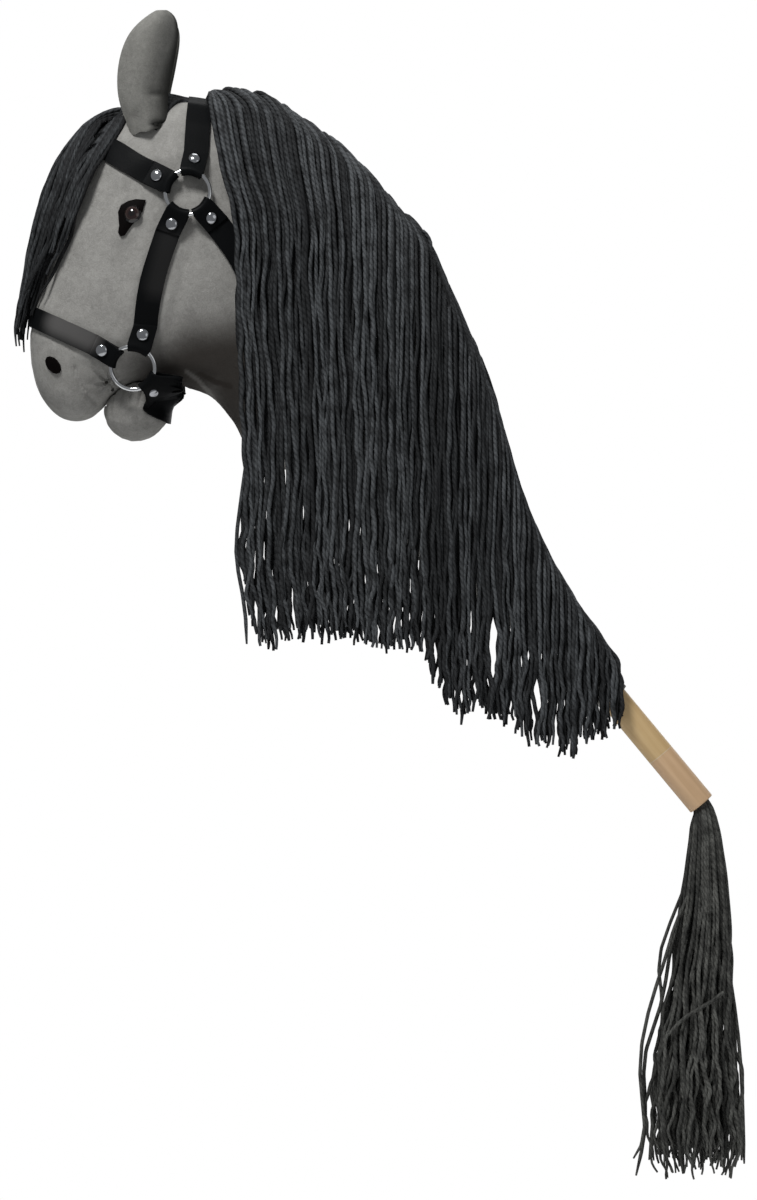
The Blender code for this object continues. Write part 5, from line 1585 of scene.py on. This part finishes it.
# %% Where the tail lies
# Each row is a height and, there, the bundle's middle in X, half length and half width.
TAIL_ROWS = np.array([(-430, 36, 42, 28), (-413, 36, 47, 33), (-388, 35, 51, 35), (-347, 35, 49, 36),
                      (-302, 36, 43, 34), (-255, 38, 36, 31), (-202, 42, 31, 27), (-154, 45, 26, 22.5),
                      (-110, 45, 21, 18.5), (-78, 45, 16.5, 14.5), (-66, 43, 14.5, 13)]) * MM
TAIL_STEP = 0.006
TAIL_STRAY_TONE = 0.7
OVER_STICK = Vector((math.sin(STICK_SLOPE), 0.0, math.cos(STICK_SLOPE)))
IN_BORE = 0.0060
MOUTH = ((-0.014, IN_BORE), (-0.007, IN_BORE), (0.0, IN_BORE + 0.0004),
         (0.006, 0.0100))           # past the stick's end, radius
TAIL_STRAYS = (
    [(28, -10, -140), (17, -12, -165), (8, -12, -178), (11, -12, -192), (2, -12, -208), (-4, -12, -230),
     (-14, -12, -258), (-22, -12, -290), (-25, -12, -322), (-20, -12, -350), (-11, -12, -378),
     (-17, -12, -395), (-28, -12, -406)],
    [(22, 6, -140), (10, 8, -172), (-4, 8, -200), (-7, 8, -218), (4, 6, -236), (6, 2, -262), (-2, 0, -290),
     (-8, -4, -330), (-4, -6, -370), (-12, -6, -408)],
    [(24, 0, -150), (12, -4, -180), (5, -6, -205), (8, -8, -225), (1, -8, -252), (-8, -8, -283),
     (-18, -6, -292), (-22, -6, -318), (-14, -4, -350), (-10, -4, -378), (-22, -4, -400), (-25, -4, -424)],
    [(64, -6, -190), (71, -8, -225), (73, -8, -255), (80, -8, -280), (79, -8, -310), (84, -8, -345),
     (82, -6, -380), (84, -4, -412)],
    [(62, 4, -200), (70, 6, -240), (78, 6, -265), (76, 6, -290), (72, 4, -320), (79, 2, -350), (85, 0, -375),
     (78, 0, -405)],
    [(62, -24, -238), (52, -30, -248), (38, -32, -253), (24, -31, -260), (12, -28, -270), (4, -24, -284)],
)


def tail_line(angle, out, end):
    up, aside = math.cos(angle), math.sin(angle)
    spoke = OVER_STICK * up + Vector((0, 1, 0)) * aside
    line = [tuple(DOWN_STICK * (BELOW_JOINT + past) + spoke * radius * out) for past, radius in MOUTH]
    for z in np.arange(TAIL_ROWS[-1, 0], end, -TAIL_STEP):
        middle, length, width = [looked_up(TAIL_ROWS, z, column) for column in (1, 2, 3)]
        line.append((middle + up * out * (length - 0.002), aside * out * (width - 0.002), z))
    return line


print("tail strays", len(TAIL_STRAYS))

# %% [markdown]
# ## The tail's strands
# A turn of the golden angle from each strand to the next sets them evenly over the bundle's section.
# Towards the end they gather in clumps by their angle, and slow waves bend them.

# %% Tail strands
TAIL_COUNT, TAIL_CLUMPS = 130, 15
TAIL_END = -0.424
GOLDEN_TURN = 2.39996


def tail_strands(chance):
    clump_angles = np.sort(chance.uniform(-math.pi, math.pi, TAIL_CLUMPS))
    for k in range(TAIL_COUNT):
        out = math.sqrt((k + 0.5) / TAIL_COUNT)
        angle = math.remainder(k * GOLDEN_TURN + chance.uniform(-0.1, 0.1), 2 * math.pi)
        end = TAIL_END + chance.uniform(-0.008, 0.022) + 0.016 * (1 - out)
        points, at = even_line(tail_line(angle, out, end))
        clump = clump_angles[np.argmin(np.abs(clump_angles - angle))]
        gather = (1 - steps(0.0, 0.16, at[-1] - at)) * out * 0.028 * math.sin(min(abs(clump - angle), 0.8))
        turn = 1 if clump > angle else -1
        points[:, 0] += -math.sin(angle) * gather * turn
        points[:, 1] += math.cos(angle) * gather * turn
        for share, waves in ((steps(0.03, 0.2, at), ((0.0036, 0.17), (0.0012, 0.06))),
                             (steps(0.16, 0.30, at), ((0.0030, 0.062), (0.0010, 0.026)))):
            sway(points, chance, at, share, [(1, 0, 0), (0, 0.8, 0)], *waves)
        yield points, tapered(at, 0.04, 0.5, chance.uniform(0.8, 1.02)), chance.uniform(0.3, 1.1)


strays = [stray_strand(path, TAIL_STRAY_TONE) for path in TAIL_STRAYS]
tail = strand_piece("tail_strands", [*tail_strands(np.random.default_rng(23)), *strays], tail_yarn)
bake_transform(tail)
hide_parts("tail")

# %% [markdown]
# ## The pieces that stay
# The pin, the tie, the tape and the tail's glued root are hardly seen. Their CAD shapes are right, so
# they only get a finish.

# %% Finishes for CAD nodes
STAYING = {"stick_pin": lower_wood, "neck_tie": thread_dark, "mane_tape": tape_felt, "tail_root": tape_felt}
for name, material in STAYING.items():
    for slot in nodes[name].material_slots:
        slot.material = material
print("refinished", len(STAYING), "nodes")

# %% [markdown]
# ## Light and ground
# Soft studio light: a lamp high on the left in front, a weak one on the right to open the shadows, one
# above and one behind. The background is white to the camera, and dim to everything else. A pale round
# floor lies well under the tail, out of the picture, and shows in the other views.

# %% Lights
AIM = Vector((-0.30, 0.0, 0.20))
LAMPS = {"key": ((-1.4, -2.0, 3.3), 1.0, 114.0), "fill": ((2.2, -2.6, 0.6), 2.2, 7.0),
         "top": ((-0.2, 1.2, 2.8), 1.8, 20.0), "back": ((1.2, 2.8, 0.8), 2.0, 14.0)}     # place, size, power
FLOOR_MIDDLE, FLOOR_RADIUS = (-0.3, 0.0, -0.60), 1.2

for name, (place, size, power) in LAMPS.items():
    data = bpy.data.lights.new(name, "AREA")
    data.shape = "DISK"
    data.size = size
    data.energy = power
    lamp = bpy.data.objects.new(name, data)
    lamp.location = place
    lamp.rotation_euler = (AIM - Vector(place)).to_track_quat("-Z", "Y").to_euler()
    scene.collection.objects.link(lamp)


def pale_world():
    world = bpy.data.worlds.new("studio")
    world.use_nodes = True
    scene.world = world
    tree = world.node_tree
    tree.nodes.clear()
    path = add(tree, "ShaderNodeLightPath").outputs
    seen = calc(tree, "MAXIMUM", path["Is Camera Ray"], path["Is Transmission Ray"])
    white = add(tree, "ShaderNodeBackground", {"Color": (1, 1, 1, 1), "Strength": 1.0})
    dim = add(tree, "ShaderNodeBackground", {"Color": (0.95, 0.97, 1, 1), "Strength": 0.24})
    both = add(tree, "ShaderNodeMixShader", {0: seen, 1: dim.outputs[0], 2: white.outputs[0]})
    add(tree, "ShaderNodeOutputWorld", {0: both.outputs[0]})


pale_world()
floor_finish = finish("floor_pale", Base_Color=(0.86, 0.86, 0.86, 1), Roughness=0.9)[0]
floor = turned("floor", [(0.0, 0.0), (0.0, FLOOR_RADIUS)], FLOOR_MIDDLE, (0, 0, 1), floor_finish, 96)
floor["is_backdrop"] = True
scene.view_settings.view_transform = "Standard"
print("lamps", len(LAMPS))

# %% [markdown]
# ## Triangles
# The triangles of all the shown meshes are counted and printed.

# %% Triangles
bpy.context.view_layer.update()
meshes = [thing.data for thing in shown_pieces() if thing.type == "MESH"]
print("triangles", sum(len(face.vertices) - 2 for mesh in meshes for face in mesh.polygons))
